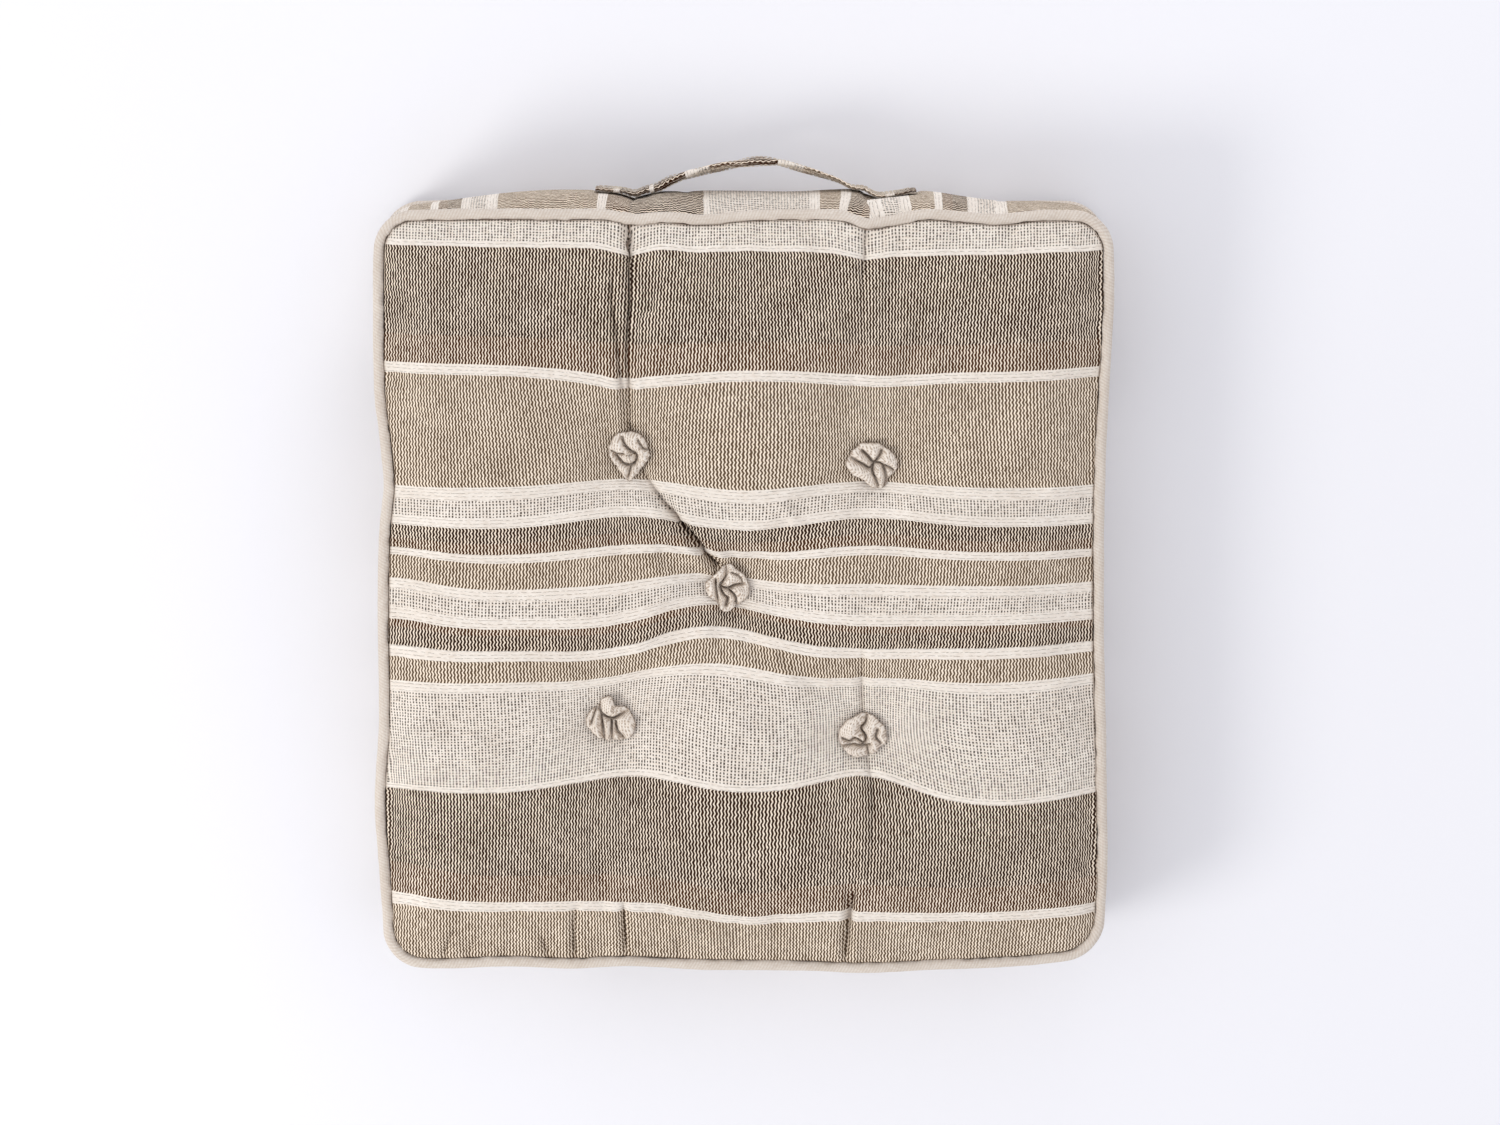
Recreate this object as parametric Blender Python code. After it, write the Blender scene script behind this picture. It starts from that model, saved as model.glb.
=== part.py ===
"""Tufted box floor cushion with a piped edge and a strap handle on its back band.

Metres, +Z up. The cushion lies on z = 0 with its handle towards +Y, and the origin is the
bottom centre of the whole part, handle included. The seam line is the line that joins a
panel, the piping and a band; "out" below is the horizontal distance outside that line.
"""

import math

import bmesh
import bpy
from mathutils import Vector, geometry

# Overall size, over the piping and between the crowns of the two panels
WIDTH = 0.500
LENGTH = 0.522
HEIGHT = 0.100
MIDDLE_Z = HEIGHT / 2

GAP = 0.0003  # clearance between pieces that touch on the real cushion
COVER_CLOTH = 0.0012
TICKING_CLOTH = 0.0008

# Piping: a strip of cloth wrapped round a cord, with its two edges sewn into the seam
PIPING_RADIUS = 0.0040
PIPING_CLOTH = 0.0005
PIPING_OUT = 0.0042
PIPING_CORD_RADIUS = 0.0026
FLANGE_DEPTH = 0.0060
SEAM_TOP_Z = 0.090
SEAM_BOTTOM_Z = HEIGHT - SEAM_TOP_Z

# Plan outline of the seam line
HALF_X = WIDTH / 2 - PIPING_RADIUS - PIPING_OUT
HALF_Y = LENGTH / 2 - PIPING_RADIUS - PIPING_OUT
CORNER_RADIUS = 0.018
WAIST = 0.004  # how far the left and right sides pull in at their middles
SIDE_STEPS = 4
CORNER_STEPS = 4

# Panels: level out to EDGE_RUN from the edge, with a round dip at each tuft
PANEL_INSET = 0.0004
EDGE_RUN = 0.016
TOP_DIP = 0.013
BOTTOM_DIP = 0.011
SEAT_RADIUS = 0.019
DIP_RADIUS = 0.048
TUFTS = ((-0.076, 0.094), (0.090, 0.088), (-0.009, 0.002), (-0.090, -0.089), (0.084, -0.100))

# Bands: the seam allowance turns in under the piping, then the band bulges out
BAND_START_OUT = -0.0010
BAND_ALLOWANCE_OUT = -0.0018  # where the allowance turns down into the band
BAND_BULGE = 0.0172
BAND_SHOULDER = 0.0058  # from a seam line to the start of the bulge
BAND_HALF_HEIGHT = SEAM_TOP_Z - BAND_SHOULDER - MIDDLE_Z
BAND_BULGE_DEGREES = (78, 50, 25, 0)
BAND_TRIM = 0.0003  # taken off each end, at the corner seams

# Inner bag of plain ticking and the three layers of cotton in it
BOXING_START_OUT = -0.0085
BOXING_BULGE = 0.0228
BOXING_BULGE_DEGREES = (65, 32, 0)
BOXING_HALF_HEIGHT = 0.0325
BOXING_HEM_RISE = 0.0033  # the hem's edge, above the piping's seam line
BOXING_HEM_DROP = 0.0060  # the hem's fold, below that line
TICKING_INSET = 0.0080
BATT_CLEARANCE = 0.0016
BATT_SHRINK = 0.96

TWINE_RADIUS = 0.0009
TWINE_HOLE_RADIUS = 0.0016
ROSETTE_RADIUS = 0.0162
ROSETTE_LOBES = 7
ROSETTE_LOBE = 0.0010
ROSETTE_TOP_HEIGHT = 0.0080
ROSETTE_BOTTOM_HEIGHT = 0.0060
# Its rings from the base up to the dent in its middle: (share of the radius, of the height)
ROSETTE_RINGS = ((0.96, 0.0), (1.00, 0.45), (0.635, 1.0), (0.23, 0.62))

# Strap handle: its route is (distance along the back band, reach out from the band)
STRAP_THICKNESS = 0.0040
STRAP_HEIGHT = 0.024
STRAP_ROUTE = (
    (-0.0626, 0.0000),
    (-0.0500, 0.0072),
    (-0.0350, 0.0122),
    (-0.0100, 0.0156),
    (0.0200, 0.0180),
    (0.0400, 0.0152),
    (0.0600, 0.0085),
    (0.0816, 0.0000),
)
GRIP_FROM, GRIP_TO = -0.0280, 0.0460
TAB_LENGTH = 0.0370
TAB_EDGE = 0.0006  # bevel round the tab
STITCH_WIDTH = 0.0010
STITCH_LENGTH = 0.0260
STITCH_HEIGHT = 0.0160
STITCH_THICKNESS = 0.0008

BAND_FACE_Y = HALF_Y + BAND_START_OUT + BAND_BULGE + COVER_CLOTH / 2
STRAP_ROOT_Y = BAND_FACE_Y + GAP + STRAP_THICKNESS / 2

CREAM = (0.76, 0.69, 0.60)
TAUPE = (0.53, 0.45, 0.37)
COTTON = (0.85, 0.82, 0.76)
THREAD = (0.70, 0.63, 0.53)


def clear_scene():
    for thing in list(bpy.data.objects):
        bpy.data.objects.remove(thing, do_unlink=True)


def cloth_material(name, colour, roughness):
    material = bpy.data.materials.new(name)
    material.use_nodes = True
    shader = material.node_tree.nodes["Principled BSDF"]
    shader.inputs["Base Color"].default_value = (*colour, 1.0)
    shader.inputs["Roughness"].default_value = roughness
    shader.inputs["Metallic"].default_value = 0.0
    return material


def add_object(name, mesh_data, colour, roughness=0.9, location=(0.0, 0.0, 0.0)):
    """Links a mesh that was modelled about the cushion's middle."""
    piece = bpy.data.objects.new(name, mesh_data)
    bpy.context.scene.collection.objects.link(piece)
    piece.location = Vector(location) + Vector((0.0, cushion_y(), 0.0))
    mesh_data.materials.append(cloth_material(name, colour, roughness))
    return piece


def mesh_from(name, points, faces):
    """A mesh of these points and faces, its normals made to agree and to point out."""
    built = bpy.data.meshes.new(name)
    built.from_pydata(points, [], faces)
    working = bmesh.new()
    working.from_mesh(built)
    bmesh.ops.recalc_face_normals(working, faces=working.faces)
    working.to_mesh(built)
    working.free()
    return built


# ---- the strap's route, which sets how far the handle reaches and so where the middle is


def route_reach(x):
    """The strap's reach at x, on a smooth curve through STRAP_ROUTE's points."""
    for index in range(len(STRAP_ROUTE) - 1):
        (x0, y0), (x1, y1) = STRAP_ROUTE[index], STRAP_ROUTE[index + 1]
        if x <= x1:
            break
    before = STRAP_ROUTE[max(index - 1, 0)]
    after = STRAP_ROUTE[min(index + 2, len(STRAP_ROUTE) - 1)]
    slope0 = (y1 - before[1]) / (x1 - before[0])
    slope1 = (after[1] - y0) / (after[0] - x0)
    t = (x - x0) / (x1 - x0)
    run = x1 - x0
    return (
        (2 * t**3 - 3 * t**2 + 1) * y0
        + (t**3 - 2 * t**2 + t) * run * slope0
        + (3 * t**2 - 2 * t**3) * y1
        + (t**3 - t**2) * run * slope1
    )


def spaced(start, end, steps):
    return [start + (end - start) * step / steps for step in range(steps + 1)]


GRIP_STATIONS = spaced(GRIP_FROM, GRIP_TO, 12)


def cushion_y():
    """Y of the cushion's middle, which puts the origin midway between front and handle."""
    reach = max(route_reach(x) for x in GRIP_STATIONS)
    handle_face_y = STRAP_ROOT_Y + reach + STRAP_THICKNESS / 2
    return -(handle_face_y - BAND_FACE_Y) / 2


# ---- plan outline


def seam_stations():
    """(point, outward direction) round the seam line, from the middle of the front left corner."""
    stations = []
    centres = ((-1, -1), (1, -1), (1, 1), (-1, 1))
    for corner, (side_x, side_y) in enumerate(centres):
        first_angle = math.radians(180 + 90 * corner)
        centre = Vector((side_x * (HALF_X - CORNER_RADIUS), side_y * (HALF_Y - CORNER_RADIUS)))
        for step in range(CORNER_STEPS + 1):
            angle = first_angle + math.radians(90) * step / CORNER_STEPS
            out = Vector((math.cos(angle), math.sin(angle)))
            stations.append((centre + out * CORNER_RADIUS, out))
        next_x, next_y = centres[(corner + 1) % 4]
        end = Vector((next_x * (HALF_X - CORNER_RADIUS), next_y * (HALF_Y - CORNER_RADIUS)))
        start_point = stations[-1][0]
        end_point = end + out * CORNER_RADIUS
        for step in range(1, SIDE_STEPS):
            stations.append((start_point.lerp(end_point, step / SIDE_STEPS), out))
    half_corner = CORNER_STEPS // 2
    stations = stations[half_corner:] + stations[:half_corner]
    return [(pulled_in(point), out) for point, out in stations]


def pulled_in(point):
    """Draws the left and right sides in at their middles."""
    share = 1 - (point.y / HALF_Y) ** 2
    return Vector((point.x * (1 - WAIST / HALF_X * share), point.y))


def outline(out_by):
    """The seam line moved out by this much, or in where it is negative."""
    return [point + out * out_by for point, out in seam_stations()]


# ---- strips of cloth that run along the seam line


def thicken(piece, thickness):
    solidify = piece.modifiers.new("cloth", "SOLIDIFY")
    solidify.thickness = thickness
    solidify.offset = 0.0
    solidify.use_even_offset = True
    solidify.use_quality_normals = True


def sweep(name, stations, profile, closed, colour, thickness=0.0):
    """Carries a profile of (out, z) points along the stations, as a cloth strip or a solid cord."""
    points = [
        (*(point + out * out_by), z) for point, out in stations for out_by, z in profile
    ]
    size = len(profile)
    across = size - 1 if thickness else size
    lengths = len(stations) if closed else len(stations) - 1
    faces = []
    for along in range(lengths):
        here = along * size
        there = (along + 1) % len(stations) * size
        for step in range(across):
            after = (step + 1) % size
            faces.append((here + step, there + step, there + after, here + after))
    piece = add_object(name, mesh_from(name, points, faces), colour)
    if thickness:
        thicken(piece, thickness)
    return piece


def mirrored_in_z(upper_profile):
    """The upper half of a profile, then its mirror image below the middle."""
    lower = [(out_by, 2 * MIDDLE_Z - z) for out_by, z in reversed(upper_profile[:-1])]
    return upper_profile + lower


def band_profile():
    allowance_z = SEAM_TOP_Z - edge_lift()
    upper = [(-FLANGE_DEPTH, allowance_z), (BAND_ALLOWANCE_OUT, allowance_z)]
    for degrees in BAND_BULGE_DEGREES:
        angle = math.radians(degrees)
        out_by = BAND_START_OUT + BAND_BULGE * math.cos(angle)
        upper.append((out_by, MIDDLE_Z + BAND_HALF_HEIGHT * math.sin(angle)))
    return mirrored_in_z(upper)


def boxing_profile():
    upper = [
        (BOXING_START_OUT, SEAM_TOP_Z + BOXING_HEM_RISE),
        (BOXING_START_OUT, SEAM_TOP_Z - BOXING_HEM_DROP),
    ]
    for degrees in BOXING_BULGE_DEGREES:
        angle = math.radians(degrees)
        out_by = BOXING_START_OUT + BOXING_BULGE * math.cos(angle)
        upper.append((out_by, MIDDLE_Z + BOXING_HALF_HEIGHT * math.sin(angle)))
    return mirrored_in_z(upper)


def make_bands():
    """Four bands, each from the middle of one corner to the middle of the next."""
    stations = seam_stations()
    per_side = len(stations) // 4
    for side, name in enumerate(("front_band", "right_band", "back_band", "left_band")):
        run = [stations[(side * per_side + step) % len(stations)] for step in range(per_side + 1)]
        for end, way in ((0, 1), (-1, -1)):
            point, out = run[end]
            along = Vector((-out.y, out.x)) * way
            run[end] = (point + along * BAND_TRIM, out)
        sweep(name, run, band_profile(), False, TAUPE, COVER_CLOTH)


def piping_profile(seam_z):
    """A strip round the cord, open on the seam side, where its edges lie flat together."""
    layer = PIPING_CLOTH / 2 + GAP / 2
    ring_radius = PIPING_RADIUS - PIPING_CLOTH / 2
    profile = [(-FLANGE_DEPTH, seam_z + layer)]
    half_opening = math.asin(layer / ring_radius)
    sides = 6
    for step in range(sides + 1):
        angle = math.pi - half_opening - step * (math.tau - 2 * half_opening) / sides
        profile.append(
            (PIPING_OUT + ring_radius * math.cos(angle), seam_z + ring_radius * math.sin(angle))
        )
    profile.append((-FLANGE_DEPTH, seam_z - layer))
    return profile


def cord_profile(seam_z):
    sides = 6
    angles = [math.tau * step / sides for step in range(sides)]
    return [
        (PIPING_OUT + PIPING_CORD_RADIUS * math.cos(a), seam_z + PIPING_CORD_RADIUS * math.sin(a))
        for a in angles
    ]


def make_piping(place, seam_z):
    sweep(place + "_piping", seam_stations(), piping_profile(seam_z), True, CREAM, PIPING_CLOTH)
    sweep(place + "_piping_cord", seam_stations(), cord_profile(seam_z), True, COTTON)


# ---- level sheets, all cut on the same pattern of points so that they nest


def edge_lift():
    """Height between the seam line and the middle of a panel's cloth where it is sewn."""
    return PIPING_CLOTH + GAP / 2 + GAP + COVER_CLOTH / 2


def circle(centre, radius, count):
    """Points round a circle, anticlockwise."""
    turns = [math.tau * step / count for step in range(count)]
    return [Vector((centre[0] + radius * math.cos(t), centre[1] + radius * math.sin(t))) for t in turns]


def sheet_pattern(inset, hole_radius, dipped):
    """Points as (place, share of the crown, 1 in a dip), and the triangles between them."""
    points = []
    loops = []

    def add_loop(places, share, dip, fixed):
        first = len(points)
        points.extend((place, share, dip) for place in places)
        if fixed:
            count = len(places)
            loops.append([(first + i, first + (i + 1) % count) for i in range(count)])

    add_loop(outline(-inset), (inset - PANEL_INSET) / (EDGE_RUN - PANEL_INSET), 0, True)
    if dipped:
        add_loop(outline(-EDGE_RUN), 1, 0, False)
    for tuft in TUFTS:
        add_loop(circle(tuft, hole_radius, 6), 1, 1, True)
        if dipped:
            add_loop(circle(tuft, SEAT_RADIUS, 10), 1, 1, True)
            add_loop(circle(tuft, DIP_RADIUS, 12), 1, 0, False)
    border = [edge[0] for edge in loops[0]]
    edges = [edge for loop in loops for edge in loop]
    places = [place for place, _, _ in points]
    found = geometry.delaunay_2d_cdt(places, edges, [border], 1, 1e-6)
    new_places, triangles, origins = found[0], found[2], found[3]
    pattern = [(place, *points[origin[0]][1:]) for place, origin in zip(new_places, origins)]
    return pattern, [t for t in triangles if not in_a_hole(t, new_places, hole_radius)]


def in_a_hole(triangle, places, hole_radius):
    middle = sum((Vector(places[corner]) for corner in triangle), Vector((0, 0))) / 3
    return any((middle - Vector(tuft)).length < hole_radius for tuft in TUFTS)


def rim_of(triangles):
    """The edges that only one triangle has, in that triangle's direction."""
    directed = {edge for a, b, c in triangles for edge in ((a, b), (b, c), (c, a))}
    return [edge for edge in directed if edge[::-1] not in directed]


def slab(low_points, high_points, triangles):
    """Points and faces of a body between two copies of one pattern."""
    count = len(low_points)
    faces = [tuple(count + corner for corner in t) for t in triangles]
    faces += [t[::-1] for t in triangles]
    faces += [(a, b, count + b, count + a) for a, b in sorted(rim_of(triangles))]
    return low_points + high_points, faces


def top_face_z(share, dip):
    edge = SEAM_TOP_Z + edge_lift()
    crown = HEIGHT - COVER_CLOTH / 2
    return edge + share * (crown - edge) - dip * TOP_DIP


def bottom_face_z(share, dip):
    edge = SEAM_BOTTOM_Z - edge_lift()
    floor = COVER_CLOTH / 2
    return edge + share * (floor - edge) + dip * BOTTOM_DIP


def ticking_offset():
    """Height between the middles of a panel's cloth and of the ticking against it."""
    return (COVER_CLOTH + TICKING_CLOTH) / 2 + GAP


def make_sheet(name, inset, face_z, offset, thickness, colour):
    pattern, triangles = sheet_pattern(inset, TWINE_HOLE_RADIUS, True)
    low = [(*place, face_z(share, dip) + offset - thickness / 2) for place, share, dip in pattern]
    high = [(*place, face_z(share, dip) + offset + thickness / 2) for place, share, dip in pattern]
    points, faces = slab(low, high, triangles)
    add_object(name, mesh_from(name, points, faces), colour)


def make_sheets():
    make_sheet("top_panel", PANEL_INSET, top_face_z, 0.0, COVER_CLOTH, TAUPE)
    make_sheet("bottom_panel", PANEL_INSET, bottom_face_z, 0.0, COVER_CLOTH, TAUPE)
    offset = ticking_offset()
    make_sheet("ticking_top", TICKING_INSET, top_face_z, -offset, TICKING_CLOTH, COTTON)
    make_sheet("ticking_bottom", TICKING_INSET, bottom_face_z, offset, TICKING_CLOTH, COTTON)


# ---- filling


def batt_wall():
    """The boxing's upper profile moved in, as (out, z) from its top down to the middle."""
    upper = boxing_profile()[1:5]
    return [
        (out_by - BATT_CLEARANCE, MIDDLE_Z + (z - MIDDLE_Z) * BATT_SHRINK) for out_by, z in upper
    ]


def batt_split_z():
    """Height above the middle at which one layer of cotton meets the next."""
    return batt_wall()[2][1] - MIDDLE_Z


def outer_batt(name, face_z, way):
    """The upper or lower layer: way is 1 for the upper one and -1 for the lower."""
    wall = batt_wall()
    hole_radius = TWINE_HOLE_RADIUS + GAP
    inset = -wall[0][0]
    crown, crown_triangles = sheet_pattern(inset, hole_radius, True)
    offset = -way * (ticking_offset() + TICKING_CLOTH / 2 + 2 * GAP)
    points = [(*place, face_z(share, dip) + offset) for place, share, dip in crown]
    faces = list(crown_triangles)
    split = way * (batt_split_z() + GAP / 2)
    flat, flat_triangles = sheet_pattern(-wall[2][0], hole_radius, False)
    first_flat = len(points)
    points += [(*place, MIDDLE_Z + split) for place, _, _ in flat]
    faces += [tuple(first_flat + corner for corner in t)[::-1] for t in flat_triangles]
    faces += joining_faces(points, crown, flat, first_flat, wall[:2], way)
    add_object(name, mesh_from(name, points, faces), COTTON)


def joining_faces(points, crown, flat, first_flat, wall, way):
    """The batt's side wall, through rings at the wall's own points, and its twine holes."""
    sides = len(seam_stations())
    rings = [nearest(crown, outline(wall[0][0]), 0)]
    for out_by, z in wall:
        first = len(points)
        points.extend((*place, MIDDLE_Z + way * (z - MIDDLE_Z)) for place in outline(out_by))
        rings.append(list(range(first, first + sides)))
    rings.append(nearest(flat, outline(batt_wall()[2][0]), first_flat))
    faces = []
    for upper, lower in zip(rings, rings[1:]):
        faces += loop_wall(upper, lower)
    for tuft in TUFTS:
        hole = circle(tuft, TWINE_HOLE_RADIUS + GAP, 6)
        faces += loop_wall(nearest(crown, hole, 0), nearest(flat, hole, first_flat))
    return faces


def nearest(pattern, places, first):
    """The pattern's point at each of these places, counted from first."""
    chosen = []
    for place in places:
        gaps = [(Vector(point[0]) - place).length for point in pattern]
        chosen.append(first + gaps.index(min(gaps)))
    return chosen


def loop_wall(upper, lower):
    count = len(upper)
    return [
        (upper[i], upper[(i + 1) % count], lower[(i + 1) % count], lower[i]) for i in range(count)
    ]


def middle_batt():
    wall = batt_wall()
    hole_radius = TWINE_HOLE_RADIUS + GAP
    half = batt_split_z() - GAP / 2
    pattern, triangles = sheet_pattern(-wall[2][0], hole_radius, False)
    low = [(*place, MIDDLE_Z - half) for place, _, _ in pattern]
    high = [(*place, MIDDLE_Z + half) for place, _, _ in pattern]
    points, faces = slab(low, high, triangles)
    add_object("middle_batt", mesh_from("middle_batt", points, faces), COTTON)


def make_filling():
    outer_batt("upper_batt", top_face_z, 1)
    middle_batt()
    outer_batt("lower_batt", bottom_face_z, -1)
    sweep("ticking_boxing", seam_stations(), boxing_profile(), True, COTTON, TICKING_CLOTH)


# ---- tufts


def rosette_mesh(name, height):
    """A puff of gathered cloth: a lobed disc with a dented middle, its flat base at z = 0."""
    count = 2 * ROSETTE_LOBES
    points = []
    for share, rise in ROSETTE_RINGS:
        for step in range(count):
            angle = math.tau * step / count
            lobe = ROSETTE_LOBE * (1 if step % 2 else -1)
            radius = share * (ROSETTE_RADIUS + lobe)
            points.append((radius * math.cos(angle), radius * math.sin(angle), rise * height))
    faces = [tuple(range(count))[::-1], tuple(range(3 * count, 4 * count))]
    for ring in range(len(ROSETTE_RINGS) - 1):
        lower = list(range(ring * count, (ring + 1) * count))
        upper = [corner + count for corner in lower]
        faces += loop_wall(upper, lower)
    return mesh_from(name, points, faces)


def cylinder_mesh(name, radius, length, sides):
    working = bmesh.new()
    bmesh.ops.create_cone(
        working, cap_ends=True, segments=sides, radius1=radius, radius2=radius, depth=length
    )
    built = bpy.data.meshes.new(name)
    working.to_mesh(built)
    working.free()
    return built


def make_tufts():
    seat_top = top_face_z(1, 1) + COVER_CLOTH / 2
    seat_bottom = bottom_face_z(1, 1) - COVER_CLOTH / 2
    for number, (x, y) in enumerate(TUFTS, 1):
        top = rosette_mesh("top_rosette", ROSETTE_TOP_HEIGHT)
        add_object(f"top_rosette_{number}", top, CREAM, location=(x, y, seat_top + GAP))
        bottom = rosette_mesh("bottom_rosette", ROSETTE_BOTTOM_HEIGHT)
        piece = add_object(
            f"bottom_rosette_{number}", bottom, CREAM, location=(x, y, seat_bottom - GAP)
        )
        piece.rotation_euler.x = math.pi
        twine = cylinder_mesh("twine", TWINE_RADIUS, seat_top - seat_bottom, 6)
        middle = (x, y, (seat_top + seat_bottom) / 2)
        add_object(f"tuft_twine_{number}", twine, THREAD, location=middle)


# ---- strap handle


def strap_run(name, stations, colour):
    """A length of the strap, standing on edge, along the route between these stations."""
    points = []
    for x in stations:
        y = STRAP_ROOT_Y + route_reach(x)
        points.append((x, y, MIDDLE_Z - STRAP_HEIGHT / 2))
        points.append((x, y, MIDDLE_Z + STRAP_HEIGHT / 2))
    faces = [
        (2 * i, 2 * i + 2, 2 * i + 3, 2 * i + 1) for i in range(len(stations) - 1)
    ]
    built = bpy.data.meshes.new(name)
    built.from_pydata(points, [], faces)
    piece = add_object(name, built, colour)
    thicken(piece, STRAP_THICKNESS)
    return piece


def make_strap():
    root_left, root_right = STRAP_ROUTE[0][0], STRAP_ROUTE[-1][0]
    strap_run("handle_grip", GRIP_STATIONS, TAUPE)
    strap_run("handle_leg_left", spaced(root_left + GAP, GRIP_FROM - 2 * GAP, 5), TAUPE)
    strap_run("handle_leg_right", spaced(GRIP_TO + 2 * GAP, root_right - GAP, 5), TAUPE)
    for side, root, way in (("left", root_left, -1), ("right", root_right, 1)):
        middle_x = root + way * (TAB_LENGTH / 2 + 2 * GAP)
        make_tab("handle_tab_" + side, middle_x)
        make_stitches("handle_stitches_" + side, middle_x)


def make_tab(name, middle_x):
    """The strap's end, sewn flat to the band."""
    working = bmesh.new()
    bmesh.ops.create_cube(working, size=1.0)
    bmesh.ops.scale(working, verts=working.verts, vec=(TAB_LENGTH, STRAP_THICKNESS, STRAP_HEIGHT))
    bmesh.ops.bevel(working, geom=working.edges[:], offset=TAB_EDGE, segments=1, affect="EDGES")
    built = bpy.data.meshes.new(name)
    working.to_mesh(built)
    working.free()
    add_object(name, built, TAUPE, location=(middle_x, STRAP_ROOT_Y, MIDDLE_Z))


def make_stitches(name, middle_x):
    """A sewn rectangle with a cross in it, lying on the tab's outer face."""
    half_x, half_z = STITCH_LENGTH / 2, STITCH_HEIGHT / 2
    corners = [(-half_x, -half_z), (half_x, -half_z), (half_x, half_z), (-half_x, half_z)]
    border = [Vector(corner) for corner in corners]
    inner = [Vector(c) * (1 - 2 * STITCH_WIDTH / STITCH_HEIGHT) for c in corners]
    windows = []
    for side in range(4):
        a, b = inner[side], inner[(side + 1) % 4]
        tip = (a + b) / 2 * (2 * STITCH_WIDTH / (a + b).length)
        along = (b - a).normalized() * STITCH_WIDTH
        windows.append([a + along, b - along, tip])
    places = border + [corner for window in windows for corner in window]
    edges = [(i, (i + 1) % 4) for i in range(4)]
    for first in range(4, len(places), 3):
        edges += [(first, first + 1), (first + 1, first + 2), (first + 2, first)]
    found = geometry.delaunay_2d_cdt(places, edges, [[0, 1, 2, 3]], 1, 1e-6)
    flat, triangles = found[0], found[2]
    kept = [t for t in triangles if not in_a_window(t, flat, windows)]
    face_y = STRAP_ROOT_Y + STRAP_THICKNESS / 2 + GAP
    low = [(x, face_y, z) for x, z in flat]
    high = [(x, face_y + STITCH_THICKNESS, z) for x, z in flat]
    points, faces = slab(low, high, kept)
    add_object(name, mesh_from(name, points, faces), CREAM, location=(middle_x, 0, MIDDLE_Z))


def in_a_window(triangle, places, windows):
    middle = sum((Vector(places[corner]) for corner in triangle), Vector((0, 0))) / 3
    return any(geometry.intersect_point_tri_2d(middle, *window) for window in windows)


def main():
    clear_scene()
    make_sheets()
    make_bands()
    make_piping("top", SEAM_TOP_Z)
    make_piping("bottom", SEAM_BOTTOM_Z)
    make_filling()
    make_tufts()
    make_strap()


main()
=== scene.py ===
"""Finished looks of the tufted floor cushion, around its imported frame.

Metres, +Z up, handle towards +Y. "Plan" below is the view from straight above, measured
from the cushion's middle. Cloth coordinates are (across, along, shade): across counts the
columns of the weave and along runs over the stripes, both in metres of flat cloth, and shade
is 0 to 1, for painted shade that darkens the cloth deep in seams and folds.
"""

import math

import bpy
import numpy as np
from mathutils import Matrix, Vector


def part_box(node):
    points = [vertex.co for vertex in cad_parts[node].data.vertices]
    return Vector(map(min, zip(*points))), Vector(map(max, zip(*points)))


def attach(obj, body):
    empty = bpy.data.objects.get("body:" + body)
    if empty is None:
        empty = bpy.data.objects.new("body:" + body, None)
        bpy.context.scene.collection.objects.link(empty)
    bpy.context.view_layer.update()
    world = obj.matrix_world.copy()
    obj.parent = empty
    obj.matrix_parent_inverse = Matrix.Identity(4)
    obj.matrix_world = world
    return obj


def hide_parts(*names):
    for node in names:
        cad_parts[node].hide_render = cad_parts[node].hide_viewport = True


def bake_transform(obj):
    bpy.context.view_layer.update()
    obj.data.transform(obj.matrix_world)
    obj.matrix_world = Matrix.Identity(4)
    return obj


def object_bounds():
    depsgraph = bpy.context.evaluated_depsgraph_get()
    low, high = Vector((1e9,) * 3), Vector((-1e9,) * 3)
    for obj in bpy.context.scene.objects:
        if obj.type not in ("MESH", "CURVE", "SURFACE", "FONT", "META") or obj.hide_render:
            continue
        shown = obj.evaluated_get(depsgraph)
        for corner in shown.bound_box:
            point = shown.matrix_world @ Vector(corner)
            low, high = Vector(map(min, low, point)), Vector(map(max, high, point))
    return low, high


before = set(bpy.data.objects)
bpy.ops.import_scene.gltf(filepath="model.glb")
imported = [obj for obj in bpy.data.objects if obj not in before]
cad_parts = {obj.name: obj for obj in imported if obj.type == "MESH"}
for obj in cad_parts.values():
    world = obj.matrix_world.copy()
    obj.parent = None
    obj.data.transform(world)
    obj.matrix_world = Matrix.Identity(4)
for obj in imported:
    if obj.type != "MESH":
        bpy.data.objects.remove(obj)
cad_low, cad_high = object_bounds()

MM = 0.001


def in_mm(*rows):
    """A table given in mm, in metres."""
    return tuple(tuple(value * MM for value in row) for row in rows)


# ---- places that the frame gives

TUFT_COUNT = 5
TUFT_NUMBERS = range(1, TUFT_COUNT + 1)
PART_GAP = 0.0003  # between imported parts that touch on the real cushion

piping_low, piping_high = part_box("top_piping")
MIDDLE = np.array([(piping_low.x + piping_high.x) / 2, (piping_low.y + piping_high.y) / 2])
SEAM_TOP_Z = (piping_low.z + piping_high.z) / 2
FLOOR_Z = cad_low.z
CROWN_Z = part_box("top_panel")[1].z
SEAM_BOTTOM_Z = FLOOR_Z + CROWN_Z - SEAM_TOP_Z
PIPING_RADIUS = (piping_high.z - piping_low.z) / 2
PIPING_OUT = PIPING_RADIUS + 0.0002  # from the seam line to the middle of the piping
HALF_X = (piping_high.x - piping_low.x) / 2 - PIPING_OUT - PIPING_RADIUS
HALF_Y = (piping_high.y - piping_low.y) / 2 - PIPING_OUT - PIPING_RADIUS


def plan_centre(low, high):
    return np.array([(low.x + high.x) / 2, (low.y + high.y) / 2]) - MIDDLE


TUFTS = [plan_centre(*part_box(f"top_rosette_{number}")) for number in TUFT_NUMBERS]
TOP_SEAT_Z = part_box("top_rosette_1")[0].z - PART_GAP
BOTTOM_SEAT_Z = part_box("bottom_rosette_1")[1].z + PART_GAP

# ---- the cover's shape

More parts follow.
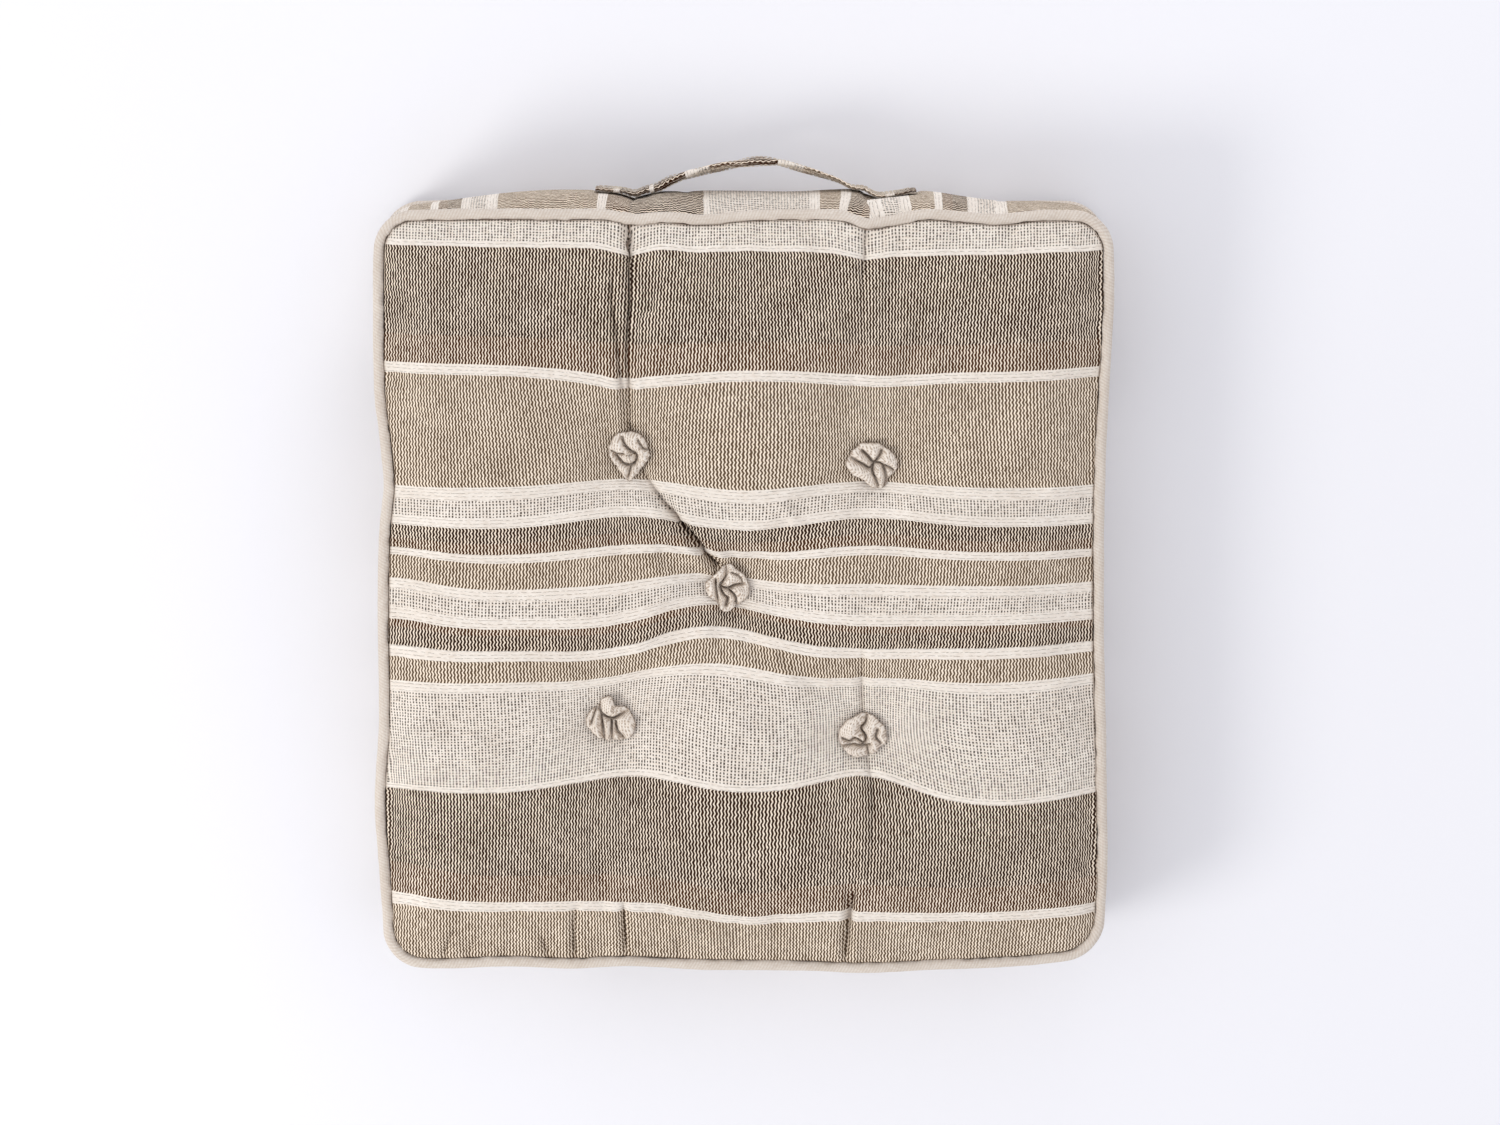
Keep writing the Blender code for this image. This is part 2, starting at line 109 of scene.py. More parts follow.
# The piping's path strays from the straight: (place along the side, distance out)
LEFT_SIDE = in_mm(
    (-260, -1), (-200, 1.8), (-145, 5), (-90, 1.5), (0, 0.8), (50, -1.5), (75, -4.2),
    (100, -2.5), (130, 1), (200, 1.6), (260, 0),
)
RIGHT_SIDE = in_mm(
    (-260, 1), (-200, 4.5), (-140, 3.2), (-70, 0.8), (0, -0.8), (80, -0.8), (130, 1), (200, 4),
    (260, 2),
)
BACK_SIDE = in_mm(
    (-250, -0.5), (-200, 0.8), (-120, 1), (-90, 0.4), (-77, -2.2), (-55, -1), (-28, -2.6),
    (0, 0), (40, 1.2), (65, 0.4), (84, -5.2), (103, -2.8), (122, 0.6), (150, -1), (172, -2.4),
    (200, 0), (250, -1),
)
FRONT_SIDE = in_mm(
    (-250, 4), (-210, 6.2), (-165, 4.6), (-115, 6), (-88, 4.6), (-30, 7), (40, 8), (85, 9.2),
    (130, 7.6), (170, 5.8), (200, 3.8), (250, -3.2),
)
CORNER_RADIUS = 0.019
GRID_X = 96
GRID_Y = 100
BAND_ROWS = 16
EDGE_RISE = 0.0120  # from the seam up to the panel's crown
EDGE_RUN = 0.0105
TUFT_REACH = 0.034
TUFT_PIN_RADIUS = 0.0075
BULGE_SIDES = 0.0068  # how far each band stands out from the seam line at its middle
BULGE_FRONT = 0.0080
BULGE_BACK = 0.0140
BULGE_CORNER = 0.0062

SIM_FRAMES = 22
SIM_SETTINGS = {
    "quality": 6, "mass": 0.3, "tension_stiffness": 25, "compression_stiffness": 12,
    "shear_stiffness": 8, "bending_stiffness": 1.2, "use_pressure": True,
    "uniform_pressure_force": 3.0, "shrink_min": -0.008,
}
SIM_CAP = 0.007  # the most that a point moves
FINER = 3  # steps of the finished seat and bands for each step of the settled grid
UNDERSIDE_FINER = 2
CLOTH_THICKNESS = 0.0012
TICKING_THICKNESS = 0.0008
LAYER_GAP = 0.0006
FLOOR_GAP = 0.0004

# ---- the cloth

# The stripes along the cloth, from the dark one nearest the handle; then they repeat
STRIPES = (
    ("dark", 0.0596), ("umber", 0.0180), ("ridge", 0.0082), ("taupe", 0.0755), ("ridge", 0.0083),
    ("open", 0.0124), ("ridge", 0.0062), ("dark", 0.0103), ("umber", 0.0070), ("ridge", 0.0069),
    ("taupe", 0.0174), ("ridge", 0.0069), ("open", 0.0118), ("ridge", 0.0070),
    ("umber", 0.0050), ("dark", 0.0103), ("ridge", 0.0069), ("taupe", 0.0147), ("ridge", 0.0063),
    ("open", 0.0687), ("ridge", 0.0056),
)
REPEAT = sum(width for _, width in STRIPES)
FIRST_DARK_Y = 0.2374  # plan y of the first dark stripe's edge, where the cloth lies straight
BACK_BAND_EDGE_X = -0.0271  # plan x of a repeat's start on the back band

# How strongly each tuft gathers the cloth round it
GATHERS = (0.33, 0.26, 0.27, 0.27, 0.40)
GATHER_REACH = 0.036
GATHER_HEIGHT = 0.0060  # of the soft folds that run out from each tuft
GATHER_FOLDS = (5, 8, 11)
GATHER_SEED = 40
SLANT = 0.0035  # how far the columns of the weave stray sideways
# Where the filling pushes the cloth off its straight grain: (x, y, reach, shift along it)
DRIFTS = in_mm(
    (120, -210, 100, -10), (150, 180, 100, -7), (-240, -60, 100, -8), (-30, 0, 30, 8),
    (0, -210, 30, -10), (-60, 150, 70, -4), (90, -90, 30, 12), (-60, -90, 30, 10),
    (180, -120, 45, -7), (-240, 0, 30, 8), (-240, -180, 30, 9), (-77, 240, 9, -6),
    (84, 240, 12, -5.4), (-80, 150, 10, -2), (-28, 236, 12, -1.2), (118, 232, 16, -1.4),
)


# ---- small tools


def eased(t):
    """0 to 1 with a gentle start and end."""
    t = np.clip(t, 0.0, 1.0)
    return t * t * (3 - 2 * t)


def through(points, at):
    """A smooth curve through (place, value) points, read at these places."""
    places = np.array([p[0] for p in points], float)
    values = np.array([p[1:] for p in points], float)
    slopes = np.gradient(values, places, axis=0)
    at = np.clip(np.asarray(at, float), places[0], places[-1])
    index = np.clip(np.searchsorted(places, at, side="right") - 1, 0, len(places) - 2)
    run = (places[index + 1] - places[index])[..., None]
    t = (at - places[index])[..., None] / run
    result = (
        (2 * t**3 - 3 * t**2 + 1) * values[index]
        + (t**3 - 2 * t**2 + t) * run * slopes[index]
        + (3 * t**2 - 2 * t**3) * values[index + 1]
        + (t**3 - t**2) * run * slopes[index + 1]
    )
    return result[..., 0] if values.shape[1] == 1 else result


def cubic_shares(t):
    """How much each of four neighbours counts, this far from the second to the third."""
    return (
        0.5 * (-t + 2 * t**2 - t**3), 0.5 * (2 - 5 * t**2 + 3 * t**3),
        0.5 * (t + 4 * t**2 - 3 * t**3), 0.5 * (t**3 - t**2),
    )


def with_ends(rows, ends="straight"):
    """Rows with neighbours at both ends: straight on, level, or round a ring."""
    if ends == "ring":
        return np.concatenate([rows[-1:], rows, rows[:2]])
    if ends == "level":
        return np.concatenate([rows[:1], rows, rows[-1:]])
    return np.concatenate([2 * rows[:1] - rows[1:2], rows, 2 * rows[-1:] - rows[-2:-1]])


def read_axis(grid, axis, places, ends):
    """Smooth reading of a grid along one axis, at any places."""
    rows = np.moveaxis(np.asarray(grid, float), axis, 0)
    padded = with_ends(rows, ends)
    index = np.minimum(np.floor(places).astype(int), len(rows) - (1 if ends == "ring" else 2))
    t = (places - index).reshape((-1,) + (1,) * (rows.ndim - 1))
    result = sum(share * padded[index + step] for step, share in enumerate(cubic_shares(t)))
    return np.moveaxis(result, 0, axis)


def read_grid(grid, columns, rows):
    """Smooth reading of a grid at these fractional columns and rows."""
    i = np.clip(np.floor(columns).astype(int), 0, grid.shape[0] - 2)
    j = np.clip(np.floor(rows).astype(int), 0, grid.shape[1] - 2)
    padded = with_ends(np.swapaxes(with_ends(grid), 0, 1))
    result = 0
    for a, share_i in enumerate(cubic_shares(columns - i)):
        for b, share_j in enumerate(cubic_shares(rows - j)):
            result = result + padded[j + b, i + a] * (share_i * share_j)[..., None]
    return result


def finer(grid, times, axes=(0, 1), ring=False):
    """A grid with this many times the steps along its axes; its first axis can be a ring."""
    for axis in axes:
        count = np.shape(grid)[axis]
        closed = ring and axis == 0
        steps = np.arange(count * times if closed else (count - 1) * times + 1)
        grid = read_axis(grid, axis, steps / times, "ring" if closed else "straight")
    return grid


def smooth_noise(shape, cell, seed, ring=False):
    """Seeded noise of about -1 to 1 on a grid, smooth over this many steps."""
    coarse = [max(2, int(math.ceil(size / cell)) + 1) for size in shape]
    noise = np.random.default_rng(seed).uniform(-1, 1, coarse)
    for axis, size in enumerate(shape):
        count = noise.shape[axis]
        if ring and axis == 0:
            noise = read_axis(noise, axis, np.arange(size) * count / size, "ring")
        else:
            places = np.arange(size) * (count - 1) / max(size - 1, 1)
            noise = read_axis(noise, axis, places, "level")
    return noise


def unit(vectors):
    return vectors / np.maximum(np.linalg.norm(vectors, axis=-1, keepdims=True), 1e-12)


def run_along(points):
    """The distance along a line of points, at each of them."""
    steps = np.linalg.norm(np.diff(points, axis=0), axis=-1)
    return np.concatenate([[0], np.cumsum(steps)])


def grid_normals(grid, ring=False):
    """Unit normals of a grid of points, first axis across second axis."""
    if ring:
        first = np.roll(grid, -1, 0) - np.roll(grid, 1, 0)
    else:
        first = np.gradient(grid, axis=0)
    return unit(np.cross(first, np.gradient(grid, axis=1)))


def grid_faces(columns, rows, first=0, closed_columns=False, closed_rows=False, flip=False):
    """Quads between the points of a grid, numbered along its second axis."""
    i = np.arange(columns if closed_columns else columns - 1)
    j = np.arange(rows if closed_rows else rows - 1)
    i, j = (part.ravel() for part in np.meshgrid(i, j, indexing="ij"))
    i2, j2 = (i + 1) % columns, (j + 1) % rows
    quads = np.stack([i * rows + j, i2 * rows + j, i2 * rows + j2, i * rows + j2], -1) + first
    return quads[:, ::-1] if flip else quads


def mesh_piece(name, points, faces, material, cloth=None, smooth=True):
    """A mesh object of these points and faces, with its cloth coordinates if it has any."""
    data = bpy.data.meshes.new(name)
    places = np.asarray(points, float).reshape(-1, 3).tolist()
    data.from_pydata(places, [], [[int(corner) for corner in face] for face in faces])
    if cloth is not None:
        flat = np.zeros((len(data.vertices), 3), np.float32)
        flat[:, : cloth.shape[-1]] = cloth.reshape(-1, cloth.shape[-1])
        attribute = data.attributes.new("cloth", "FLOAT_VECTOR", "POINT")
        attribute.data.foreach_set("vector", flat.ravel())
    if smooth:
        data.shade_smooth()
    data.materials.append(material)
    data.validate()
    piece = bpy.data.objects.new(name, data)
    bpy.context.scene.collection.objects.link(piece)
    return piece


def tube_piece(name, rings, material, cloth=None, closed=False):
    """A mesh object from rings of points, closed on itself or capped at both ends."""
    count, around = rings.shape[:2]
    faces = list(grid_faces(count, around, closed_columns=closed, closed_rows=True))
    if not closed:
        last = (count - 1) * around
        faces += [range(around), range(last + around - 1, last - 1, -1)]
    return mesh_piece(name, rings, faces, material, cloth)


def place_piece(piece, slot, *nodes):
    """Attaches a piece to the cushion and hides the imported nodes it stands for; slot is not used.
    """
    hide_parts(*nodes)
    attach(piece, "cushion")


# ---- node helpers


class Tree:
    """A material's node tree, with short calls for the nodes that repeat."""

    def __init__(self, name):
        self.material = bpy.data.materials.new(name)
        self.material.use_nodes = True
        self.nodes = self.material.node_tree.nodes
        self.shader = self.nodes["Principled BSDF"]

    def put(self, socket, value):
        """Sets a socket from another socket, a colour or a number, or leaves it as it is."""
        if isinstance(value, bpy.types.NodeSocket):
            self.material.node_tree.links.new(value, socket)
        elif value is not None:
            socket.default_value = (*value, 1.0) if isinstance(value, tuple) else value

    def node(self, kind, inputs, **settings):
        node = self.nodes.new("ShaderNode" + kind)
        for setting, value in settings.items():
            setattr(node, setting, value)
        for socket, value in inputs.items():
            self.put(node.inputs[socket], value)
        return node

    def math(self, operation, a, b=0.0, c=0.0, clamp=False):
        inputs = {0: a, 1: b, 2: c}
        return self.node("Math", inputs, operation=operation, use_clamp=clamp).outputs[0]

    def times(self, a, b):
        return self.math("MULTIPLY", a, b)

    def minus(self, a, b):
        return self.math("SUBTRACT", a, b)

    def times_plus(self, a, b, c):
        return self.math("MULTIPLY_ADD", a, b, c)

    def total(self, first, *others):
        for other in others:
            first = self.math("ADD", first, other)
        return first

    def mix(self, share, a, b, blend="MIX"):
        inputs = {0: share, 6: a, 7: b}
        return self.node("Mix", inputs, data_type="RGBA", blend_type=blend).outputs[2]

    def dimmed(self, share, colour, by):
        return self.mix(share, colour, by, "MULTIPLY")

    def cloth(self):
        """The cloth coordinates: across, along and painted shade."""
        vector = self.node("Attribute", {}, attribute_name="cloth").outputs["Vector"]
        return self.split(vector)

    def place(self):
        return self.node("TexCoord", {}).outputs["Object"]

    def split(self, vector):
        return self.node("SeparateXYZ", {0: vector}).outputs

    def join(self, x, y):
        return self.node("CombineXYZ", {0: x, 1: y}).outputs[0]

    def noise(self, vector, scale, detail=2.0, roughness=0.5):
        inputs = {"Vector": vector, "Scale": scale, "Detail": detail, "Roughness": roughness}
        return self.node("TexNoise", inputs).outputs[0]

    def steps(self, share, stops):
        """A constant ramp: each (place, colour) holds until the next."""
        node = self.node("ValToRGB", {0: share})
        ramp = node.color_ramp
        ramp.interpolation = "CONSTANT"
        while len(ramp.elements) < len(stops):
            ramp.elements.new(0.5)
        for element, (place, colour) in zip(ramp.elements, stops):
            element.position = place
            element.color = (*colour, 1.0)
        return node.outputs[0]

    def remap(self, value, low, high, to_low=0.0, to_high=1.0):
        inputs = dict(enumerate((value, low, high, to_low, to_high)))
        return self.node("MapRange", inputs).outputs[0]

    def band(self, value, period):
        """0 in the middle of each period, rising to 1 at its ends."""
        share = self.math("FRACT", self.math("DIVIDE", value, period))
        return self.math("ABSOLUTE", self.times_plus(share, 2.0, -1.0))

    def bump(self, height, distance, strength, under=None):
        inputs = {"Height": height, "Distance": distance, "Strength": strength, "Normal": under}
        return self.node("Bump", inputs).outputs[0]

    def finish(self, colour, roughness, normal=None, sheen=0.04):
        for name, value in {
            "Base Color": colour, "Roughness": roughness, "Specular IOR Level": 0.15,
            "Sheen Weight": sheen, "Sheen Roughness": 0.55, "Normal": normal,
        }.items():
            self.put(self.shader.inputs[name], value)
        return self.material


# ---- materials

WHITE = (1.0, 1.0, 1.0)
CREAM_YARN = (0.875, 0.822, 0.748)
CREAM_SHADE = (0.72, 0.63, 0.535)
ZIGZAG_YARN = (0.96, 0.85, 0.705)
ZIGZAG_SHADE = (0.70, 0.57, 0.42)
PATCH_TINT = (0.55, 0.46, 0.38)  # what the yarn is dimmed to, faintly and in wide patches
PAINTED_FOLD_SHADE = (0.22, 0.135, 0.085)  # painted shade: what the cloth is dimmed to, deep in its folds and seams
# the strongest that the painted shade in folds and seams darkens the cloth
PAINTED_FOLD_SHADE_SHARE = 0.9
# Each kind of stripe: the ground between its yarns, how much of it the yarns cover, and what
# it is woven as (zigzag columns, open weave, ridge)
ZIGZAG, OPEN, RIDGE = (1, 0, 0), (0, 1, 0), (0, 0, 1)
KINDS = {
    "dark": ((0.030, 0.0120, 0.0045), 0.362, ZIGZAG),
    "umber": ((0.064, 0.0235, 0.0075), 0.362, ZIGZAG),
    "walnut": ((0.042, 0.015, 0.0045), 0.25, ZIGZAG),
    "taupe": ((0.118, 0.076, 0.044), 0.435, ZIGZAG),
    "open": ((0.092, 0.076, 0.061), 0.5, OPEN),
    "plain": ((0.50, 0.41, 0.33), 0.5, OPEN),
    "smooth": ((0.76, 0.675, 0.585), 0.5, OPEN),
    "ridge": ((0.13, 0.11, 0.09), 0.5, RIDGE),
}
COLUMN_PITCH = 0.00218
ZIGZAG_PERIOD = 0.0037
ZIGZAG_SWING = 0.19 * COLUMN_PITCH
HOLE_PITCH_ALONG = 0.00205
HOLE_SIZE = 0.57
HOLE_SPREAD = 0.62  # how much the holes vary in size
THREAD_PITCH = 0.0023
YARN_STRAY = 0.0014  # how far a yarn strays sideways
SLUB_STRAY = 0.0022
STRIPE_STRAY = 0.0009


def stripe_values(tree, along, stripes, place, value_of):
    """Each stripe's value over the repeat, from its kind's row."""
    repeat = sum(width for _, width in stripes)
    share = tree.math("DIVIDE", tree.math("FLOORED_MODULO", along, repeat), repeat)
    starts = np.cumsum([0.0] + [width for _, width in stripes[:-1]])
    values = [value_of(KINDS[kind][place]) for kind, _ in stripes]
    return tree.steps(share, list(zip(starts / repeat, values)))


def striped_cloth(name, stripes, dye=WHITE):
    """The cover's cloth: cream yarn over the ground of each stripe."""
    tree = Tree(name)
    across, along, soil = tree.cloth()
    place = tree.join(across, along)
    wander = tree.noise(place, 420.0, 1.0)
    along_edge = tree.times_plus(wander, STRIPE_STRAY, along)
    ground = stripe_values(tree, along_edge, stripes, 0, tuple)
    covers = stripe_values(tree, along_edge, stripes, 1, lambda share: (share,) * 3)
    zigzag_share, open_share, ridge_share = tree.split(
        stripe_values(tree, along_edge, stripes, 2, tuple)
    )
    # zigzag columns of cream yarn over the ground
    turn = tree.times_plus(tree.band(along, ZIGZAG_PERIOD), 2.0, -1.0)
    stray = tree.minus(tree.noise(place, 330.0, 5.0, 0.7), 0.5)
    swung = tree.times_plus(stray, YARN_STRAY, tree.times(turn, ZIGZAG_SWING))
    from_yarn = tree.band(tree.total(across, swung), COLUMN_PITCH)
    long_way = tree.join(across, tree.times(along, 0.2))
    cover = tree.times_plus(tree.minus(tree.noise(long_way, 900.0, 3.0), 0.5), 0.75, covers)
    cover = tree.times_plus(tree.minus(tree.noise(place, 38.0), 0.5), 0.22, cover)
    zigzag = tree.remap(tree.minus(cover, from_yarn), -0.05, 0.05)
    # open weave: small holes between the warp and the weft
    warp = tree.band(tree.times_plus(stray, YARN_STRAY, across), COLUMN_PITCH)
    wide_way = tree.join(tree.times(across, 0.25), along)
    slubs = tree.noise(wide_way, 800.0, 3.0)
    weft = tree.band(tree.times_plus(slubs, SLUB_STRAY, along), HOLE_PITCH_ALONG)
    hole = tree.math("MINIMUM", warp, tree.total(weft, 0.12))
    hole_size = tree.times_plus(
        tree.noise(place, 300.0, 3.0), HOLE_SPREAD, HOLE_SIZE - HOLE_SPREAD / 2
    )
    solid_open = tree.remap(tree.minus(hole_size, hole), -0.08, 0.08)
    # ridges: dense threads along the stripe, with broken gaps between them
    thread = tree.band(tree.times_plus(wander, 0.0010, along), THREAD_PITCH)
    broken = tree.remap(tree.noise(wide_way, 1500.0, 1.0), 0.42, 0.52)
    gap = tree.times(tree.remap(thread, 0.80, 0.92), broken)
    solid_ridge = tree.minus(1.0, tree.times(gap, 0.7))
    yarn = tree.total(
        tree.times(zigzag, zigzag_share),
        tree.times(solid_open, open_share),
        tree.times(solid_ridge, ridge_share),
    )
    # colour: shaded yarn over the ground, then patches, painted shade in folds and seams, and dye
    patches = tree.noise(place, 30.0, 3.0)
    # painted shade on the open weave's sunk yarn, plus slub tone at random, towards the shade
    # colours
    recess_shade = tree.times(tree.remap(tree.minus(warp, weft), -0.2, 0.6), open_share)
    slub_shade = tree.remap(slubs, 0.40, 0.75, 0.0, 0.7)
    shade = tree.math("MULTIPLY_ADD", recess_shade, 0.45, slub_shade, clamp=True)
    light = tree.mix(zigzag_share, CREAM_YARN, ZIGZAG_YARN)
    cream = tree.mix(shade, light, tree.mix(zigzag_share, CREAM_SHADE, ZIGZAG_SHADE))
    colour = tree.mix(yarn, ground, cream)
    colour = tree.dimmed(tree.remap(patches, 0.35, 0.7, 0.0, 0.16), colour, PATCH_TINT)
    # painted shade: the cloth darkened deep in its folds and seams
    colour = tree.dimmed(tree.times(soil, PAINTED_FOLD_SHADE_SHARE), colour, PAINTED_FOLD_SHADE)
    colour = tree.dimmed(1.0, colour, dye)
    # relief: round yarns, sunk holes and ridge threads, on softly lumpy cloth
    rounded = tree.minus(1.0, tree.times(from_yarn, from_yarn))
    height = tree.total(
        tree.times(tree.times(rounded, zigzag_share), 0.8),
        tree.times(solid_open, tree.times(open_share, 0.7)),
        tree.times(tree.minus(1.3, thread), ridge_share),
    )
    normal = tree.bump(height, 0.0005, 0.6, tree.bump(patches, 0.0006, 0.5))
    return tree.finish(colour, tree.remap(yarn, 0.0, 1.0, 0.97, 0.85), normal)


def plain_cloth(name, light, shade, weave_pitch, bump=0.0003):
    """A plain weave that needs no cloth coordinates of its own."""
    tree = Tree(name)
    coordinates = tree.place()
    x, y, z = tree.split(coordinates)
    sloped = tree.times(z, 0.7)
    warp = tree.band(tree.total(x, sloped), weave_pitch)
    weft = tree.band(tree.minus(y, sloped), weave_pitch)
    weave = tree.times(warp, weft)
    fuzz = tree.noise(coordinates, 900.0, 3.0)
    patches = tree.noise(coordinates, 60.0, 3.0)
    fuzz_shade = tree.remap(fuzz, 0.4, 0.7, 0.0, 0.5)
    share = tree.math("MULTIPLY_ADD", weave, 0.6, fuzz_shade, clamp=True)
    colour = tree.mix(share, light, shade)
    colour = tree.mix(tree.remap(patches, 0.35, 0.7, 0.0, 0.25), colour, shade)
    normal = tree.bump(tree.minus(tree.times(fuzz, 0.6), weave), bump, 0.6)
    return tree.finish(colour, tree.remap(fuzz, 0.3, 0.7, 0.82, 0.95), normal, sheen=0.2)


# ---- stage: camera, lights and floor

TILT = math.radians(9)  # the camera leans this far from straight down, towards the handle
CAMERA_DISTANCE = 3.14
SENSOR_WIDTH = 36.0
PICTURE_WIDTH = 1.029  # metres across the picture at the height of the seat
AIM = (0.0055, 0.0190)  # from the cushion's middle to the middle of the picture
WORLD_COLOUR = (0.975, 0.965, 1.0, 1.0)
WORLD_STRENGTH = 0.88
FLOOR_HALF = 6.0
FLOOR_COLOURS = (0.855, 0.865, 0.905), (0.875, 0.885, 0.925)


def make_camera():
    scene = bpy.context.scene
    data = bpy.data.cameras.new("camera")
    data.sensor_width = SENSOR_WIDTH
    data.lens = CAMERA_DISTANCE * SENSOR_WIDTH / PICTURE_WIDTH
    camera = bpy.data.objects.new("camera", data)
    scene.collection.objects.link(camera)
    target = Vector((MIDDLE[0] + AIM[0], MIDDLE[1] + AIM[1], SEAM_TOP_Z))
    camera.location = target + CAMERA_DISTANCE * Vector((0.0, math.sin(TILT), math.cos(TILT)))
    camera.rotation_euler = (-TILT, 0.0, 0.0)
    scene.camera = camera


def area_light(name, position, size, power, colour):
    data = bpy.data.lights.new(name, "AREA")
    data.shape = "DISK"
    data.size, data.energy, data.color = size, power, colour
    light = bpy.data.objects.new(name, data)
    bpy.context.scene.collection.objects.link(light)
    light.location = position
    light.rotation_euler = (-Vector(position)).to_track_quat("-Z", "Y").to_euler()
    light.visible_camera = False


def make_lights():
    area_light("key", (-2.15, -1.10, 1.95), 1.2, 34.0, (1.0, 0.975, 0.93))
    area_light("back_fill", (0.2, 1.6, 0.38), 0.9, 5.0, (1.0, 0.985, 0.97))
    world = bpy.context.scene.world or bpy.data.worlds.new("studio")
    bpy.context.scene.world = world
    world.use_nodes = True
    background = world.node_tree.nodes["Background"]
    background.inputs["Color"].default_value = WORLD_COLOUR
    background.inputs["Strength"].default_value = WORLD_STRENGTH
    bpy.context.scene.view_settings.view_transform = "Standard"


def make_floor():
    tree = Tree("floor_paper")
    colour = tree.mix(tree.noise(tree.place(), 1.2), *FLOOR_COLOURS)
    paper = tree.finish(colour, 0.7, sheen=0.0)
    corners = [
        (x * FLOOR_HALF, y * FLOOR_HALF, FLOOR_Z) for x, y in ((-1, -1), (1, -1), (1, 1), (-1, 1))
    ]
    mesh_piece("floor", corners, [(0, 1, 2, 3)], paper, smooth=False)


# ---- the cover: designed shape


def plan_grid():
    """Plan positions of the panel's grid: square inside, rounded corners at its rim."""
    s, t = np.meshgrid(
        np.linspace(-1, 1, GRID_X + 1), np.linspace(-1, 1, GRID_Y + 1), indexing="ij"
    )
    shell = np.maximum(np.abs(s), np.abs(t))[..., None]
    rim = np.stack([s * HALF_X, t * HALF_Y], -1) / np.maximum(shell, 1e-6)
    core = np.array([HALF_X, HALF_Y]) - CORNER_RADIUS
    beyond = np.abs(rim) - core
    rounded = np.sign(rim) * (core + unit(beyond) * CORNER_RADIUS)
    rim_round = np.where((beyond > 0).all(-1, keepdims=True), rounded, rim)
    plan = (rim + (rim_round - rim) * shell**6) * shell
    x, y = plan[..., 0], plan[..., 1]
    share_x, share_y = (x / HALF_X + 1) / 2, (y / HALF_Y + 1) / 2
    left, right = -through(LEFT_SIDE, y), through(RIGHT_SIDE, y)
    front, back = -through(FRONT_SIDE, x), through(BACK_SIDE, x)
    x = x + left + (right - left) * share_x
    y = y + front + (back - front) * share_y
    return np.stack([x, y], -1), shell[..., 0]


def ring_of(columns, rows):
    """The grid's rim, anticlockwise from its front left corner, as (column, row)."""
    ring = [(i, 0) for i in range(columns)]
    ring += [(columns, j) for j in range(rows)]
    ring += [(i, rows) for i in range(columns, 0, -1)]
    ring += [(0, j) for j in range(rows, 0, -1)]
    return np.array(ring)


def seam_of(grid):
    """The points of a settled panel along its rim."""
    return grid[tuple(ring_of(GRID_X, GRID_Y).T)]


def rim_directions(rim):
    """The outward direction at each point of a closed rim, in plan."""
    along = unit(np.roll(rim, -1, 0) - np.roll(rim, 1, 0))
    return np.stack([along[:, 1], -along[:, 0]], -1)


def from_tufts(plan):
    """The distance from each point of the plan to its nearest tuft."""
    return np.min([np.linalg.norm(plan - tuft, axis=-1) for tuft in TUFTS], 0)


def band_bulge(rim):
    """How far the band stands out at each point of the rim."""
    x, y = rim[:, 0] / HALF_X, rim[:, 1] / HALF_Y
    on_side = np.abs(x) > np.abs(y)
    middle = np.where(on_side, BULGE_SIDES, np.where(y > 0, BULGE_BACK, BULGE_FRONT))
    place = np.where(on_side, np.abs(y), np.abs(x))
    return BULGE_CORNER + (middle - BULGE_CORNER) * eased((1 - place) / 0.5)


def designed_cover():
    """The cover before it settles: plan grid, top grid, bottom grid and band."""
    plan, shell = plan_grid()
    from_edge = (1 - shell) * min(HALF_X, HALF_Y)
    rise = EDGE_RISE * (1 - np.exp(-from_edge / EDGE_RUN))
    pull = np.exp(-((from_tufts(plan) / TUFT_REACH) ** 1.35))
    world = plan + MIDDLE
    top, bottom = (
        np.dstack([world, crown + pull * (seat - crown)])
        for crown, seat in (
            (SEAM_TOP_Z + rise, TOP_SEAT_Z), (SEAM_BOTTOM_Z - rise, BOTTOM_SEAT_Z)
        )
    )
    rim = seam_of(plan)
    rows = np.linspace(0, 1, BAND_ROWS + 1)
    stand = band_bulge(rim)[:, None] * np.sin(math.pi * rows) ** 0.8
    band_plan = rim[:, None] + rim_directions(rim)[:, None] * stand[..., None] + MIDDLE
    down = 0.25 * (1 - np.cos(math.pi * rows)) + 0.5 * rows
    band_z = SEAM_TOP_Z + (SEAM_BOTTOM_Z - SEAM_TOP_Z) * down
    return plan, top, bottom, np.dstack([band_plan, np.broadcast_to(band_z, stand.shape)])


def settle(points, faces, pinned):
    """Lets the cover settle as a cloth blown up by its filling, and gives its points back."""
    scene = bpy.context.scene
    data = bpy.data.meshes.new("settling_cover")
    data.from_pydata(points.tolist(), [], faces.tolist())
    cover = bpy.data.objects.new("settling_cover", data)
    scene.collection.objects.link(cover)
    cover.vertex_groups.new(name="sewn").add(pinned.tolist(), 1.0, "REPLACE")
    cloth = cover.modifiers.new("cloth", "CLOTH")
    for setting, value in SIM_SETTINGS.items():
        setattr(cloth.settings, setting, value)
    cloth.settings.vertex_group_mass = "sewn"
    cloth.settings.effector_weights.gravity = 0.0
    cloth.point_cache.frame_start = 1
    cloth.point_cache.frame_end = SIM_FRAMES
    for step in range(1, SIM_FRAMES + 1):
        scene.frame_set(step)
    evaluated = cover.evaluated_get(bpy.context.evaluated_depsgraph_get())
    settled = np.empty(points.size)
    evaluated.data.vertices.foreach_get("co", settled)
    bpy.data.objects.remove(cover, do_unlink=True)
    bpy.data.meshes.remove(data)
    scene.frame_set(1)
    return settled.reshape(-1, 3)


